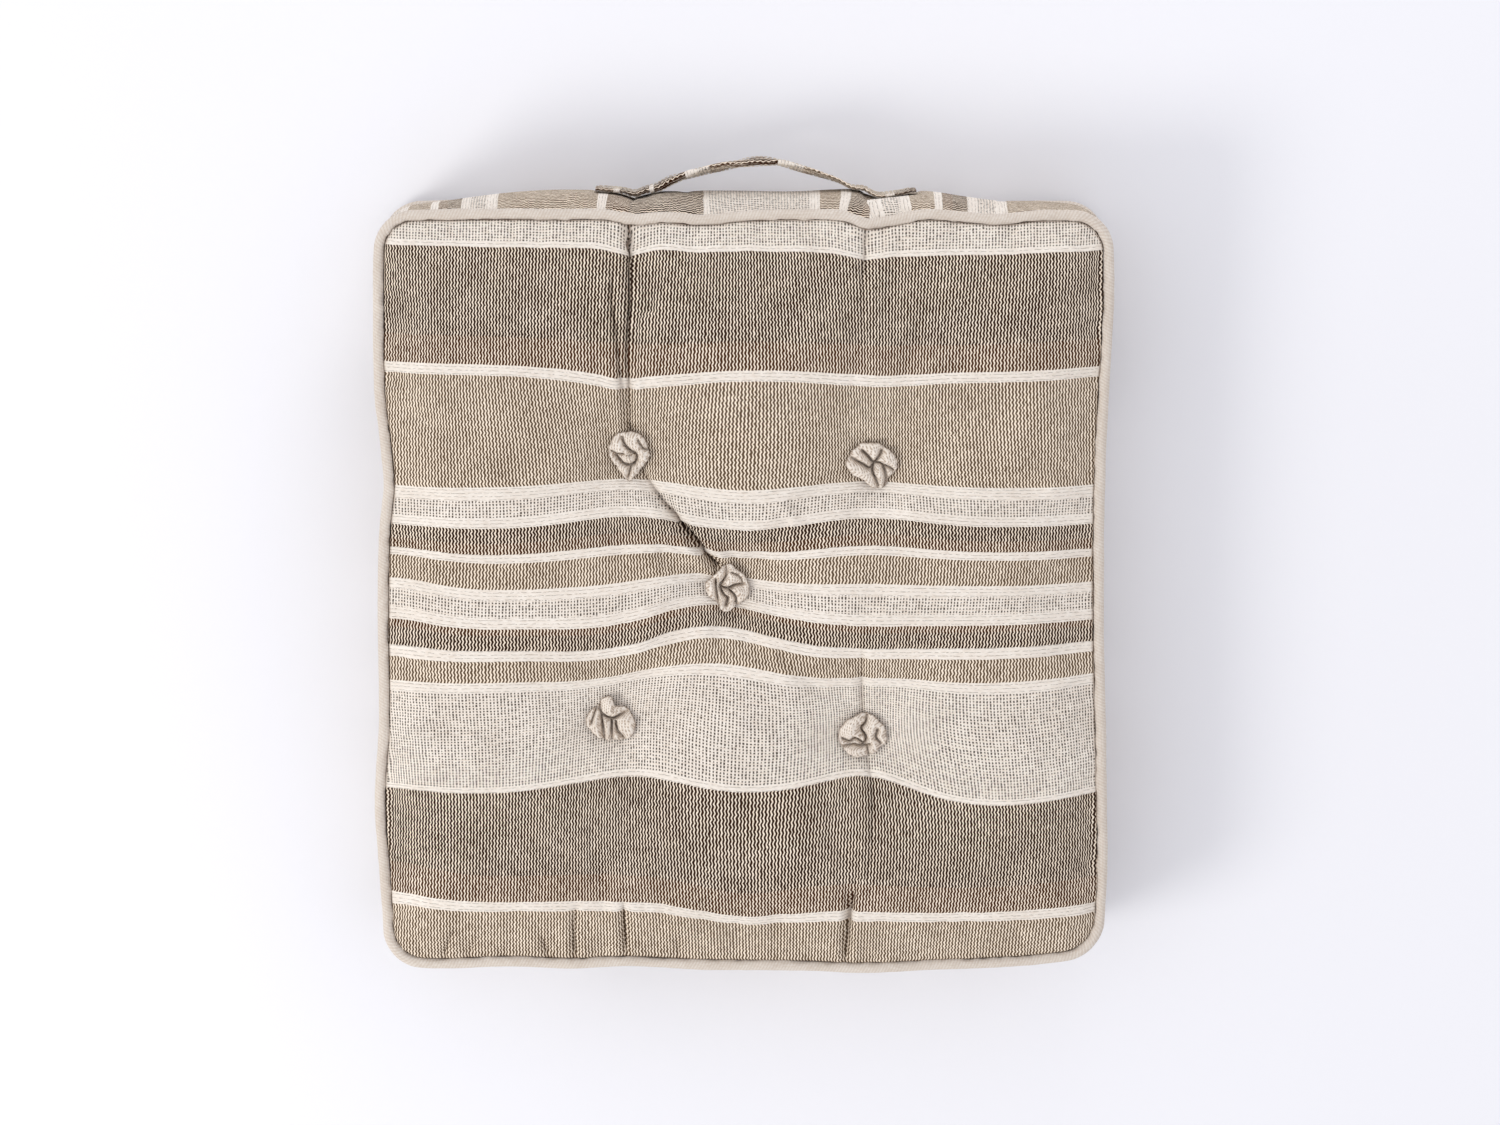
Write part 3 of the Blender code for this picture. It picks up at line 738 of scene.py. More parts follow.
def settled_cover():
    """The cover's plan grid, top, bottom and band after the cloth has settled."""
    plan, top, bottom, band = designed_cover()
    columns, rows = top.shape[:2]
    per_panel = columns * rows
    on_top = ring_of(GRID_X, GRID_Y) @ (rows, 1)
    points = np.concatenate([part.reshape(-1, 3) for part in (top, bottom, band[:, 1:-1])])
    inner = 2 * per_panel + np.arange(len(points) - 2 * per_panel).reshape(len(on_top), -1)
    band_index = np.column_stack([on_top, inner, on_top + per_panel])
    after = np.roll(band_index, -1, 0)
    band_faces = [band_index[:, :-1], band_index[:, 1:], after[:, 1:], after[:, :-1]]
    faces = np.concatenate([
        grid_faces(columns, rows),
        grid_faces(columns, rows, per_panel, flip=True),
        np.stack(band_faces, -1).reshape(-1, 4),
    ])
    tufted = np.flatnonzero(from_tufts(plan) < TUFT_PIN_RADIUS)
    sewn = np.concatenate([on_top, on_top + per_panel, tufted, tufted + per_panel])
    moved = settle(points, faces, sewn) - points
    length = np.linalg.norm(moved, axis=-1, keepdims=True)
    settled = points + moved * SIM_CAP * np.tanh(length / SIM_CAP) / np.maximum(length, 1e-9)
    top, bottom = settled[: 2 * per_panel].reshape(2, columns, rows, 3)
    return plan, top, bottom, settled[band_index]


# ---- the cover: creases and pieces

# Creases on the seat in plan: (depth, half width, ((x, y, share of the depth), ...)), in mm
CREASES = (
    (9.2, 3, ((-77.2, 257, 0.9), (-75.7, 229, 0.9), (-76.5, 200, 0.7), (-77.5, 165, 0.6),
        (-76.5, 130, 0.6), (-76.4, 105, 0.5))),
    (4.8, 2.8, ((-87, 228, 0), (-88.5, 205, 0.9), (-85, 175, 1), (-82, 145, 0.8),
        (-79, 115, 0.4))),
    (3.2, 3, ((84, 252, 0.9), (83, 230, 1), (81.5, 205, 0.6), (83, 170, 0.25), (88, 120, 0.3))),
    (1.2, 4, ((124.2, 200, 0), (120, 183, 1), (115, 164, 0))),
    (9, 3, ((-70, 86, 0.3), (-60, 70, 0.5), (-40, 45, 0.9), (-16.5, 17, 1))),
    (2.8, 3, ((82.5, -35, 0), (82.6, -55, 0.9), (83.2, -90, 1))),
    (2.8, 3, ((86, -112, 0.7), (90, -140, 0.9), (90, -175, 0.7), (86, -200, 0.4))),
    (5, 2.6, ((79, -206, 0.2), (74.9, -217.6, 1), (73, -240, 1), (71.5, -266, 0.6))),
    (4.6, 2.6, ((-114, -215, 0), (-116.5, -235, 0.8), (-116, -260, 1))),
    (4.2, 2.6, ((-83, -208, 0), (-81, -230, 0.9), (-80.6, -260, 1))),
    (3, 2.4, ((-196, -230, 0), (-202, -243, 0.7), (-207, -258, 1))),
    (2.4, 2.2, ((-180, -240, 0), (-186, -248, 0.7), (-190, -259, 1))),
    (2.8, 2.2, ((-142, -236, 0), (-138, -247, 0.7), (-134, -259, 1))),
    (2.4, 2.2, ((-42, -242, 0), (-44, -250, 0.7), (-45, -260, 1))),
    (1.6, 3, ((-26, -48, 0), (-32, -61, 1), (-38, -74, 0))),
    (1.8, 3.2, ((20, -30, 0), (27, -44, 1), (34, -59, 0))),
)
CREASE_LIP = 0.20  # height of the cloth's rise beside a crease, of its depth
CREASE_STEPS = 14
CREASE_SHADE_DEPTH = 0.0085  # a crease this deep gets the full painted shade
# how far the painted shade reaches from a crease's line
CREASE_SHADE_REACH = 0.0009
CROWDED_DEPTH = 0.0025  # creases deeper than this get a denser grid
CROWDED_REACH = 0.0062
EDGE_CROWD_REACH = 0.010
SEAM_ROLL = 0.0020  # how far the cloth next to the seam rolls out over it
SEWN_REACH = 0.004  # gathers and creases fade out over this much cloth next to the seam
# how far the painted shade along the seam reaches
SEAM_SHADE_REACH = 0.0017
PUCKER_WAVES = (0.031, 0.019, 0.012, 0.0075)  # lengths of the small gathers along the seam
PUCKER_SHARE = 0.022  # their height, of their length
PUCKER_REACH = 0.013
PUCKER_SEED = 31
SEAT_LUMPS = ((0.0009, 26, 21), (0.0005, 9, 22))  # (height, size in grid steps, seed)


def route_through(stops, steps):
    """A smooth line through stops of (x, y, share), x and y in mm, with steps between them."""
    numbered = [(i, x * MM, y * MM, share) for i, (x, y, share) in enumerate(stops)]
    return through(numbered, np.linspace(0, len(stops) - 1, steps * (len(stops) - 1) + 1))


CREASE_ROUTES = [
    (depth * MM, half_width * MM, route_through(stops, CREASE_STEPS))
    for depth, half_width, stops in CREASES
]


def nearest_on_route(places, route):
    """What each place finds at its nearest point on a route of (x, y, share).

    It is the distance, the offset in x and in y, the distance to the route's left and the share.
    """
    found = np.full((*places.shape[:-1], 5), 1e9)
    for start, end in zip(route, route[1:]):
        run = end[:2] - start[:2]
        square = max(run @ run, 1e-14)
        t = np.clip(((places - start[:2]) @ run) / square, 0, 1)
        away = places - start[:2] - t[..., None] * run
        distance = np.linalg.norm(away, axis=-1)
        left = (run[0] * away[..., 1] - run[1] * away[..., 0]) / math.sqrt(square)
        share = start[2] + t * (end[2] - start[2])
        here = np.stack([distance, away[..., 0], away[..., 1], left, share], -1)
        found = np.where((distance < found[..., 0])[..., None], here, found)
    return np.moveaxis(found, -1, 0)


def near_route(plan, route, reach):
    """Which places of the plan lie in a route's box, widened by its reach."""
    low, high = route[:, :2].min(0) - reach, route[:, :2].max(0) + reach
    return ((plan > low) & (plan < high)).all(-1)


def seat_creases(plan):
    """How deep the creases lie at each point, and how much painted shade darkens them."""
    depths, soil = np.zeros((2, *plan.shape[:-1]))
    for depth, half_width, route in CREASE_ROUTES:
        near = near_route(plan, route, 6 * half_width)
        distance, _, _, _, share = nearest_on_route(plan[near], route)
        away = distance / half_width
        # a sharp line in a soft valley, with raised lips
        valley = 0.5 * np.exp(-((away / 0.36) ** 1.3)) + 0.5 * np.exp(-(away**1.4))
        lips = CREASE_LIP * np.exp(-(((away - 2.4) / 1.1) ** 2))
        depths[near] += depth * share * (valley - lips)
        # painted shade along each crease's line, fuller in deeper creases
        soil[near] += depth / CREASE_SHADE_DEPTH * share * np.exp(-((distance / CREASE_SHADE_REACH) ** 1.3))
    return depths, soil


def drawn_to_creases(plan, shell):
    """How far the grid's points move sideways in plan, to crowd along the sharp creases."""
    moves = np.zeros(plan.shape)
    for depth, _, route in CREASE_ROUTES:
        if depth < CROWDED_DEPTH:
            continue
        near = near_route(plan, route, CROWDED_REACH)
        distance, x, y, _, share = nearest_on_route(plan[near], route)
        part = np.clip(distance / CROWDED_REACH, 1e-6, 1)
        closer = (part**0.6 - 1) * eased(share / 0.5)
        moves[near] += np.stack([x, y], -1) * closer[..., None]
    return moves * eased((1 - shell) * HALF_X / 0.008)[..., None]


def gathers(plan):
    """Soft folds that run out from each tuft."""
    total = np.zeros(plan.shape[:-1])
    for number, tuft in enumerate(TUFTS):
        away = plan - tuft
        distance = np.linalg.norm(away, axis=-1)
        angle = np.arctan2(away[..., 1], away[..., 0])
        draw = np.random.default_rng(GATHER_SEED + number)
        ring = (distance / 0.022) * np.exp(-distance / 0.020)
        for count in GATHER_FOLDS:
            fold = np.sin(count * angle + draw.uniform(0, math.tau))
            total += fold * draw.uniform(0.6, 1.0) / count * ring
    return GATHER_HEIGHT * total


def edge_puckers(plan, from_edge):
    """Small gathers where the panel is sewn to the piping, fading inwards."""
    x, y = plan[..., 0], plan[..., 1]
    across = np.where(np.abs(x) / HALF_X > np.abs(y) / HALF_Y, y, x)
    draw = np.random.default_rng(PUCKER_SEED)
    ripple = sum(
        np.sin(across * math.tau / wave + draw.uniform(0, math.tau)) * wave
        for wave in PUCKER_WAVES
    )
    patches = 0.5 + 0.5 * smooth_noise(from_edge.shape, 22, PUCKER_SEED)
    fade = np.exp(-from_edge / PUCKER_REACH) * eased(from_edge / SEWN_REACH)
    return PUCKER_SHARE * ripple * patches * fade


def edge_spare(from_edge):
    """Cloth that the steep edge takes up between the crown and a point near the seam."""
    steps = np.linspace(0, 8 * EDGE_RUN, 200)
    slope = EDGE_RISE / EDGE_RUN * np.exp(-steps / EDGE_RUN)
    spare = (np.sqrt(1 + slope**2) - 1) * steps[1]
    taken = np.cumsum(spare[::-1])[::-1]
    return np.interp(from_edge, steps, taken)


def cloth_places(plan):
    """Cloth coordinates of the seat: gathered at the tufts and pushed off its grain."""
    x, y = plan[..., 0], plan[..., 1]
    across = x + np.sign(x) * edge_spare(np.maximum(HALF_X - np.abs(x), 0))
    along = FIRST_DARK_Y - y - np.sign(y) * edge_spare(np.maximum(HALF_Y - np.abs(y), 0))
    for tuft, gather in zip(TUFTS, GATHERS):
        away = plan - tuft
        near = gather * np.exp(-(away**2).sum(-1) / (2 * GATHER_REACH**2))
        across += away[..., 0] * near * 0.6
        along -= away[..., 1] * near
    across = across + SLANT * smooth_noise(plan.shape[:2], 62, 81)
    for *place, reach, shift in DRIFTS:
        along += shift * np.exp(-((plan - place) ** 2).sum(-1) / (2 * reach**2))
    return np.stack([across, along], -1)


def cloth_solid(name, outer, inner, material, cloth=None, flip=False):
    """A sheet of cloth with both its faces and its cut edges, from a fine and a plain grid."""
    times = (len(outer) - 1) // (len(inner) - 1)
    grids = [outer, inner] if cloth is None else [outer, inner, cloth, cloth[::times, ::times]]
    if flip:
        grids = [grid[:, ::-1] for grid in grids]
    columns, rows = outer.shape[:2]
    inner_columns, inner_rows = inner.shape[:2]
    first = columns * rows
    faces = [*grid_faces(columns, rows)]
    faces += [*grid_faces(inner_columns, inner_rows, first, flip=True)]
    ring = ring_of(inner_columns - 1, inner_rows - 1)
    for here, there in zip(ring, np.roll(ring, -1, 0)):
        coarse = [first + place @ (inner_rows, 1) for place in (here, there)]
        fine = [
            (here * times + (there - here) * step) @ (rows, 1) for step in range(times, -1, -1)
        ]
        faces.append(coarse + fine)
    flat = [grid.reshape(-1, grid.shape[-1]) for grid in grids]
    places = None if cloth is None else np.concatenate(flat[2:])
    return mesh_piece(name, np.concatenate(flat[:2]), faces, material, places)


def lowest_near(heights, steps):
    """The lowest value within this many steps of each grid point."""
    for axis in (0, 1):
        padded = np.pad(heights, [(steps * (a == axis),) * 2 for a in (0, 1)], mode="edge")
        size = heights.shape[axis]
        shifted = [padded.take(range(k, k + size), axis) for k in range(2 * steps + 1)]
        heights = np.min(shifted, 0)
    return heights


def raised(grid, by, steps=0):
    """A grid moved up, or down if by is negative, and clear of its neighbours' heights."""
    result = grid.copy()
    way = math.copysign(1, by)
    result[..., 2] = by - way * lowest_near(-way * grid[..., 2], steps)
    return result


def crowded(places, count, half):
    """Grid places that lie closer together next to the two edges of the panel."""
    along = 2 * places / count - 1
    from_edge = (1 - np.abs(along)) * half
    from_edge = from_edge * (0.35 + 0.65 * np.minimum(from_edge / EDGE_CROWD_REACH, 1))
    return (np.sign(along) * (1 - from_edge / half) + 1) * count / 2


def make_seat(plan, top, material):
    """The top panel, with its creases and gathers."""
    columns, rows = np.meshgrid(
        np.linspace(0, GRID_X, GRID_X * FINER + 1), np.linspace(0, GRID_Y, GRID_Y * FINER + 1),
        indexing="ij",
    )
    columns, rows = crowded(columns, GRID_X, HALF_X), crowded(rows, GRID_Y, HALF_Y)
    shell = np.maximum(np.abs(2 * columns / GRID_X - 1), np.abs(2 * rows / GRID_Y - 1))
    moves = drawn_to_creases(read_grid(plan, columns, rows), shell)
    columns = columns + moves[..., 0] * GRID_X / (2 * HALF_X)
    rows = rows + moves[..., 1] * GRID_Y / (2 * HALF_Y)
    fine_plan, fine_top = read_grid(plan, columns, rows), read_grid(top, columns, rows)
    from_edge = (1 - shell) * HALF_X
    depths, soil = seat_creases(fine_plan)
    push = gathers(fine_plan) - depths
    for height, cell, seed in SEAT_LUMPS:
        push += height * smooth_noise(shell.shape, cell, seed)
    roll = SEAM_ROLL * eased(from_edge / 0.0016) * np.exp(-from_edge / 0.0035)
    push = push * eased(from_edge / SEWN_REACH) + roll + edge_puckers(fine_plan, from_edge)
    outer = fine_top + grid_normals(fine_top) * push[..., None]
    inner = raised(outer, -CLOTH_THICKNESS, FINER)[::FINER, ::FINER]
    # painted shade: a dark line along the seam, on top of the creases' painted shade
    soil = np.clip(soil + eased(1 - from_edge / SEAM_SHADE_REACH), 0, 1)
    cloth = np.dstack([cloth_places(fine_plan), soil])
    piece = cloth_solid("seat_panel", outer, inner, material, cloth)
    place_piece(piece, "striped_cloth", "top_panel")
    return outer, inner


def make_underside(plan, bottom, material):
    """The bottom panel, flat where it lies on the floor."""
    times = UNDERSIDE_FINER
    fine_plan, outer = finer(plan, times), finer(bottom, times)
    outer[..., 2] = np.maximum(outer[..., 2] - 0.5 * gathers(fine_plan), FLOOR_Z + FLOOR_GAP)
    inner = raised(outer, CLOTH_THICKNESS, times)[::times, ::times]
    cloth = cloth_places(fine_plan)
    piece = cloth_solid("underside_panel", outer, inner, material, cloth, flip=True)
    place_piece(piece, "striped_cloth", "bottom_panel")
    return outer, inner


def under_tabs(points):
    """How far the strap's tabs press the band in, falling away round them."""
    pressed = np.zeros(points.shape[:-1])
    for side, dent in TAB_DENTS.items():
        low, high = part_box("handle_tab_" + side)
        beside = np.maximum(low.x - points[..., 0], points[..., 0] - high.x)
        above = np.maximum(low.z - points[..., 2], points[..., 2] - high.z)
        away = np.maximum(beside, above) + 0.001
        part = eased(1 - away / 0.005) * (points[..., 1] > MIDDLE[1] + 0.8 * HALF_Y)
        pressed = np.maximum(pressed, dent * part)
    return pressed


# How the back band's cloth is eased in along its seam: (distance to its left, cloth used)
BACK_BAND_EASE = ((-0.30, -0.30), (0.0, 0.0), (0.0652, 0.0776), (0.30, 0.3359))
# Where the filling pushes the back band out between the seam's dips: (x, push)
BACK_BAND_FILL = in_mm(
    (-260, 0), (-130, 0), (-100, 1), (-70, 2.8), (-30, 3), (0, 1.4), (40, 0.2), (62, 1.2),
    (84, 5.2), (104, 3.2), (130, 0.8), (260, 0),
)
BAND_CLOTH_HEIGHT = 1.15 * (SEAM_TOP_Z - SEAM_BOTTOM_Z)
BAND_FIRST_STRIPE = 0.31  # where in the repeat the front band's middle lies
BAND_STRIPE_STEP = 0.37  # of a repeat, from one band's stripes to the next one's
BAND_LUMPS = 0.0012
BAND_PUCKERS = 0.0011  # next to the seams


def make_bands(band, material):
    """The four bands, each from one corner seam to the next."""
    fine_band = finer(band, FINER, ring=True)
    around, rows = fine_band.shape[:2]
    half_row = rows // 2
    normals = grid_normals(fine_band, ring=True)
    if (normals[:, half_row, :2] * (fine_band[:, half_row, :2] - MIDDLE)).sum() < 0:
        normals = -normals
    share = np.linspace(0, 1, rows)
    from_seam = np.minimum(share, 1 - share)
    push = BAND_LUMPS * smooth_noise((around, rows), 30, 51, ring=True)
    upright = smooth_noise((around, 4 * rows), 7, 52, ring=True)[:, ::4]
    push += BAND_PUCKERS * upright * np.exp(-from_seam / 0.11)
    behind = fine_band[..., 1] > MIDDLE[1] + 0.9 * HALF_Y
    push += through(BACK_BAND_FILL, fine_band[..., 0]) * behind * np.sin(math.pi * share) ** 0.7
    push -= under_tabs(fine_band)
    outer = fine_band + normals * (push * eased(from_seam / 0.05))[..., None]
    distance = run_along(outer[np.arange(around + 1) % around, half_row, :2])
    start = 0
    sides = (("front", GRID_X), ("right", GRID_Y), ("back", GRID_X), ("left", GRID_Y))
    for number, (side, steps) in enumerate(sides):
        picked = np.arange(start, start + steps * FINER + 1)
        start = picked[-1]
        along = distance[picked] - distance[picked[len(picked) // 2]]
        if side == "back":
            along = REPEAT + np.interp(along + BACK_BAND_EDGE_X, *zip(*BACK_BAND_EASE))
        else:
            along = along + REPEAT * (BAND_FIRST_STRIPE + BAND_STRIPE_STEP * number)
        strip, strip_normals = outer[picked % around], normals[picked % around]
        cloth = np.zeros(strip.shape)
        cloth[..., 0] = share * BAND_CLOTH_HEIGHT
        cloth[..., 1] = along[:, None]
        # painted shade along the band's two seams
        cloth[:, [0, -1], 2] = 1
        inner = (strip - strip_normals * CLOTH_THICKNESS)[::FINER, ::FINER]
        piece = cloth_solid(f"{side}_band_cover", strip, inner, material, cloth, flip=True)
        place_piece(piece, "striped_cloth", f"{side}_band")
    return outer


# ---- piping

PIPING_STRIPES = (("smooth", 0.2),)
PIPING_DYE = (0.84, 0.83, 0.825)  # the piping's cloth is a little darker than the cover's cream
PIPING_JOINT = (-0.0765, 0.26)  # plan place where the piping's two ends meet
PIPING_LAP = 0.007
PIPING_AROUND = 20
PIPING_FINER = 3
PIPING_DRAW = 0.0004  # the stitches draw the piping in over the seam by this much
PIPING_PUCKER = 0.0004
CORD_SHARE = 0.62  # radius of the filler cord, of the piping's
CORD_PITCH = 0.014  # length of cord in one turn of its strands


def make_piping(side, seam, material):
    """The piping round one seam: cloth drawn round its cord, puckered by its stitches."""
    line = finer(seam, PIPING_FINER, axes=(0,), ring=True)
    joint = np.linalg.norm(line[:, :2] - MIDDLE - PIPING_JOINT, axis=-1).argmin()
    line = np.roll(line, -joint, 0)
    out = rim_directions(line[:, :2])
    lap = int(PIPING_LAP / np.linalg.norm(line[1] - line[0]))
    line, out = (np.concatenate([part, part[:lap]]) for part in (line, out))
    run = run_along(line)[:, None]
    shape = len(line), PIPING_AROUND
    angle = np.arange(PIPING_AROUND) * math.tau / PIPING_AROUND
    radius = PIPING_RADIUS * (1 + 0.06 * smooth_noise(shape, 12, 62))
    pucker = smooth_noise(shape, 2.4, 63) + 0.6 * smooth_noise(shape, 5, 64)
    inward = 0.5 - 0.5 * np.cos(angle)
    radius = radius - PIPING_PUCKER * pucker * (0.25 + inward**2)
    # the end is drawn over the start, and hemmed
    to_end = run[-1] - run
    radius = radius * (1 + 0.14 * eased(1 - to_end / (2 * PIPING_LAP)))
    radius = radius * (1 - 0.10 * eased(1 - run / (2 * PIPING_LAP)))
    radius = radius * (1 - 0.25 * np.exp(-((to_end / 0.0006) ** 2)))
    offset = PIPING_OUT - PIPING_DRAW + 0.0003 * smooth_noise(shape[:1], 40, 61)
    offset = offset[:, None] + radius * np.cos(angle)
    plan = line[:, None, :2] + out[:, None] * offset[..., None]
    rings = np.dstack([plan, line[:, 2:] + radius * np.sin(angle)])
    round_cord = np.broadcast_to(angle * PIPING_RADIUS, offset.shape)
    cloth = np.dstack([run + 0.5 * offset, round_cord])
    piece = tube_piece(side + "_piping_tube", rings, material, cloth)
    place_piece(piece, "piping_cloth", side + "_piping")


def twisted_cord(name, line, side_way, up_way, radius, strands, turns, material, closed):
    """Strands twisted round one another along a line, as one lobed body."""
    count, around = len(line), strands * 6
    angle = np.arange(around) * math.tau / around
    twist = np.arange(count) * math.tau * turns / (count if closed else count - 1)
    lobes = np.abs(np.cos(strands * (angle - twist[:, None]) / 2))
    reach = radius * (0.80 + 0.20 * lobes)[..., None]
    across, up = (np.broadcast_to(way, line.shape)[:, None] for way in (side_way, up_way))
    rings = line[:, None] + reach * (
        np.cos(angle)[:, None] * across + np.sin(angle)[:, None] * up
    )
    return tube_piece(name, rings, material, closed=closed)


def make_piping_cord(side, seam, material):
    line = finer(seam, PIPING_FINER, axes=(0,), ring=True)
    out = np.pad(rim_directions(line[:, :2]), ((0, 0), (0, 1)))
    line = line + out * (PIPING_OUT - PIPING_DRAW)
    turns = round(run_along(line)[-1] / CORD_PITCH)
    cord = twisted_cord(
        side + "_filler_cord", line, out, (0.0, 0.0, 1.0), PIPING_RADIUS * CORD_SHARE, 3, turns,
        material, True,
    )
    place_piece(cord, "cotton_cord", side + "_piping_cord")


# ---- the bag and filling inside

BAG_INSET = 2  # grid steps from the seam to the bag's edge
BOXING_INSET = 0.0045
HEM_INSET = 0.0090
HEM_DROP = 0.0015


def make_inner_bag(seat_under, underside_over, band, material):
    """The plain bag under the cover: top, bottom and the boxing between them."""
    keep = slice(BAG_INSET, -BAG_INSET)
    for side, sheet, way in (("top", seat_under, -1), ("bottom", underside_over, 1)):
        outer = raised(sheet, way * LAYER_GAP)[keep, keep]
        inner = raised(outer, way * TICKING_THICKNESS)
        piece = cloth_solid(f"bag_{side}", outer, inner, material, flip=side == "bottom")
        place_piece(piece, "ticking", f"ticking_{side}")
    out = np.pad(rim_directions(band[:, 0, :2]), ((0, 0), (0, 1)))[:, None]
    wall = band[:, 2:-2] - out * BOXING_INSET
    hems = band[:, [0, -1]] - out * HEM_INSET
    hems[..., 2] += (-HEM_DROP, HEM_DROP)
    outer = np.concatenate([hems[:, :1], wall, hems[:, 1:]], 1)
    inner = outer - out * TICKING_THICKNESS
    inner[:, [0, -1], 2] += (-TICKING_THICKNESS, TICKING_THICKNESS)
    place_piece(strip_solid("bag_boxing", outer, inner, material), "ticking", "ticking_boxing")


def strip_solid(name, outer, inner, material):
    """A closed strip with both its faces and its two long edges."""
    columns, rows = outer.shape[:2]
    first = columns * rows
    here = np.arange(columns) * rows
    after = np.roll(here, -1)
    edge = np.stack([here, first + here, first + after, after], -1)
    faces = np.concatenate([
        grid_faces(columns, rows, closed_columns=True),
        grid_faces(columns, rows, first, closed_columns=True, flip=True),
        edge, (edge + rows - 1)[:, ::-1],
    ])
    return mesh_piece(name, np.stack([outer, inner]), faces, material)


def make_filling(plan, seat_under, underside_over, material):
    """Three layers of cotton: the outer two follow the panels, the middle one lies flat."""
    keep = slice(BAG_INSET, -BAG_INSET, 2)
    middle_z = (SEAM_TOP_Z + SEAM_BOTTOM_Z) / 2
    split = (CROWN_Z - FLOOR_Z) / 6
    clear = TICKING_THICKNESS + 2 * LAYER_GAP

    def level(grid, z):
        return np.dstack([grid[..., :2], np.full(grid.shape[:2], z)])

    upper = raised(seat_under, -clear, 2)[keep, keep]
    lower = raised(underside_over, clear, 2)[keep, keep]
    whole = (plan + MIDDLE)[::2, ::2]
    for side, over, under in (
        ("upper", upper, level(upper, middle_z + split + LAYER_GAP)),
        ("middle", level(whole, middle_z + split), level(whole, middle_z - split)),
        ("lower", level(lower, middle_z - split - LAYER_GAP), lower),
    ):
        piece = cloth_solid(f"filling_{side}", over, under, material)
        place_piece(piece, "cotton_filling", f"{side}_batt")


# ---- tufts

# Each rosette as gathered cloth: its outline and its folds, in mm from its middle. A fold is
# (depth, rise of its left side over its right, its points).
ROSETTES = (
    {
        "outline": ((2, 16), (9, 13), (13, 5), (14, -1), (9, -9), (4, -15), (0, -18), (-4, -15),
                    (-8, -9), (-13, -2), (-14, 6), (-9, 14)),
        "folds": (
            (4.5, 1.2, ((-5, 12), (-3, 7), (1, 3), (5, 0), (4, -5), (0, -7), (-5, -5), (-9, 0))),
            (2.5, -0.6, ((1, -8), (0, -12), (-1, -17))),
            (1.6, 0.5, ((-12, 3), (-8, 1), (-4, 1))),
            (1.8, -0.6, ((6, 10), (9, 5), (13, 3))),
        ),
    },
    {
        "outline": ((4, 14), (11, 10), (17, 2), (16, -5), (11, -10), (9, -16), (1, -17), (-7, -11),
                    (-15, -6), (-18, 0), (-16, 6), (-8, 14)),
        "folds": (
            (5.0, 1.0, ((-7, 9), (-3, 5), (1, 1), (5, 6), (6, 9))),
            (4.5, -0.8, ((1, 1), (-2, -3), (-7, 0), (-11, 2), (-14, 4))),
            (4.5, 1.0, ((1, 1), (0, -5), (2, -10), (4, -15))),
            (4.0, -1.0, ((1, 1), (6, 0), (8, -4), (9, -10), (8, -15))),
            (2.6, 0.8, ((6, 0), (11, -2), (14, -4))),
        ),
    },
    {
        "outline": ((0, 17), (8, 12), (14, 6), (15, -2), (12, -8), (5, -13), (-1, -17), (-8, -10),
                    (-14, -4), (-15, 3), (-10, 9), (-5, 14)),
        "folds": (
            (4.5, 1.2, ((-1, 15), (-1, 9), (-3, 5), (-5, 1), (-3, -4), (0, -7), (-1, -12))),
            (4.0, -1.0, ((-5, 1), (0, 0), (5, 2), (10, 3))),
            (3.0, 0.8, ((1, -1), (5, -5), (6, -10))),
            (3.0, 0.8, ((-8, 6), (-8, 1), (-7, -6), (-6, -12))),
            (1.8, 0.5, ((3, 11), (8, 8), (11, 3))),
        ),
    },
    {
        "outline": ((1, 15), (3, 10), (11, 8), (16, 1), (17, -8), (13, -14), (5, -15), (-5, -15),
                    (-12, -10), (-17, -1), (-13, 6), (-8, 10), (-4, 15)),
        "folds": (
            (4.5, -1.3, ((-7, 11), (-7, 6), (-4, 2), (2, 0), (8, 3), (12, 5))),
            (4.5, 0.9, ((-6, 3), (-5, -5), (-4, -14))),
            (3.6, -0.8, ((1, -1), (1, -8), (1, -14))),
            (4.2, 0.9, ((4, -2), (5, -8), (9, -13))),
            (2.2, -0.6, ((-9, 8), (-11, 3), (-13, -3))),
        ),
    },
    {
        "outline": ((2, 15), (11, 10), (16, 3), (16, -5), (11, -11), (4, -15), (-8, -15),
                    (-14, -9), (-17, 1), (-13, 8), (-5, 13)),
        "folds": (
            (4.6, 1.2, ((3, 13), (2, 8), (-1, 4), (2, -1), (2, -5), (-1, -8))),
            (3.0, -0.8, ((-14, -3), (-9, -5), (-5, -3), (0, -6))),
            (3.6, 0.9, ((-12, -8), (-6, -7), (-1, -8), (5, -7))),
            (3.2, -0.8, ((10, 3), (9, -2), (12, -6))),
            (2.6, 0.6, ((3, -8), (4, -14))),
        ),
    },
)
ROSETTE_STRIPES = (("plain", 0.2),)
ROSETTE_HEIGHT = 0.0112
ROSETTE_FLAT_HEIGHT = 0.0052
ROSETTE_RINGS = 39
ROSETTE_AROUND = 144
ROSETTE_TURN = 0.86  # share of the way out at which the cloth turns under
ROSETTE_GAP = 0.0002
FOLD_STEPS = 8
FULL_FOLD = 4.5  # depth in mm of a fold at its strongest
FOLD_LINE = 0.00055  # half widths: the painted shade in a fold, its groove, its step and its slopes
FOLD_GROOVE = 0.0009
FOLD_STEP = 0.0006
FOLD_SLOPE = 0.0032


def outline_radius(outline, angle):
    """The outline's distance from the middle in each direction."""
    corners = np.array(outline, float) * MM
    turn = np.arctan2(corners[:, 1], corners[:, 0])
    order = np.argsort(turn)
    turn, reach = turn[order], np.linalg.norm(corners[order], axis=-1)
    turns = np.concatenate([turn - math.tau, turn, turn + math.tau])
    wrapped = (angle + math.pi) % math.tau - math.pi
    return through(list(zip(turns, np.tile(reach, 3))), wrapped)


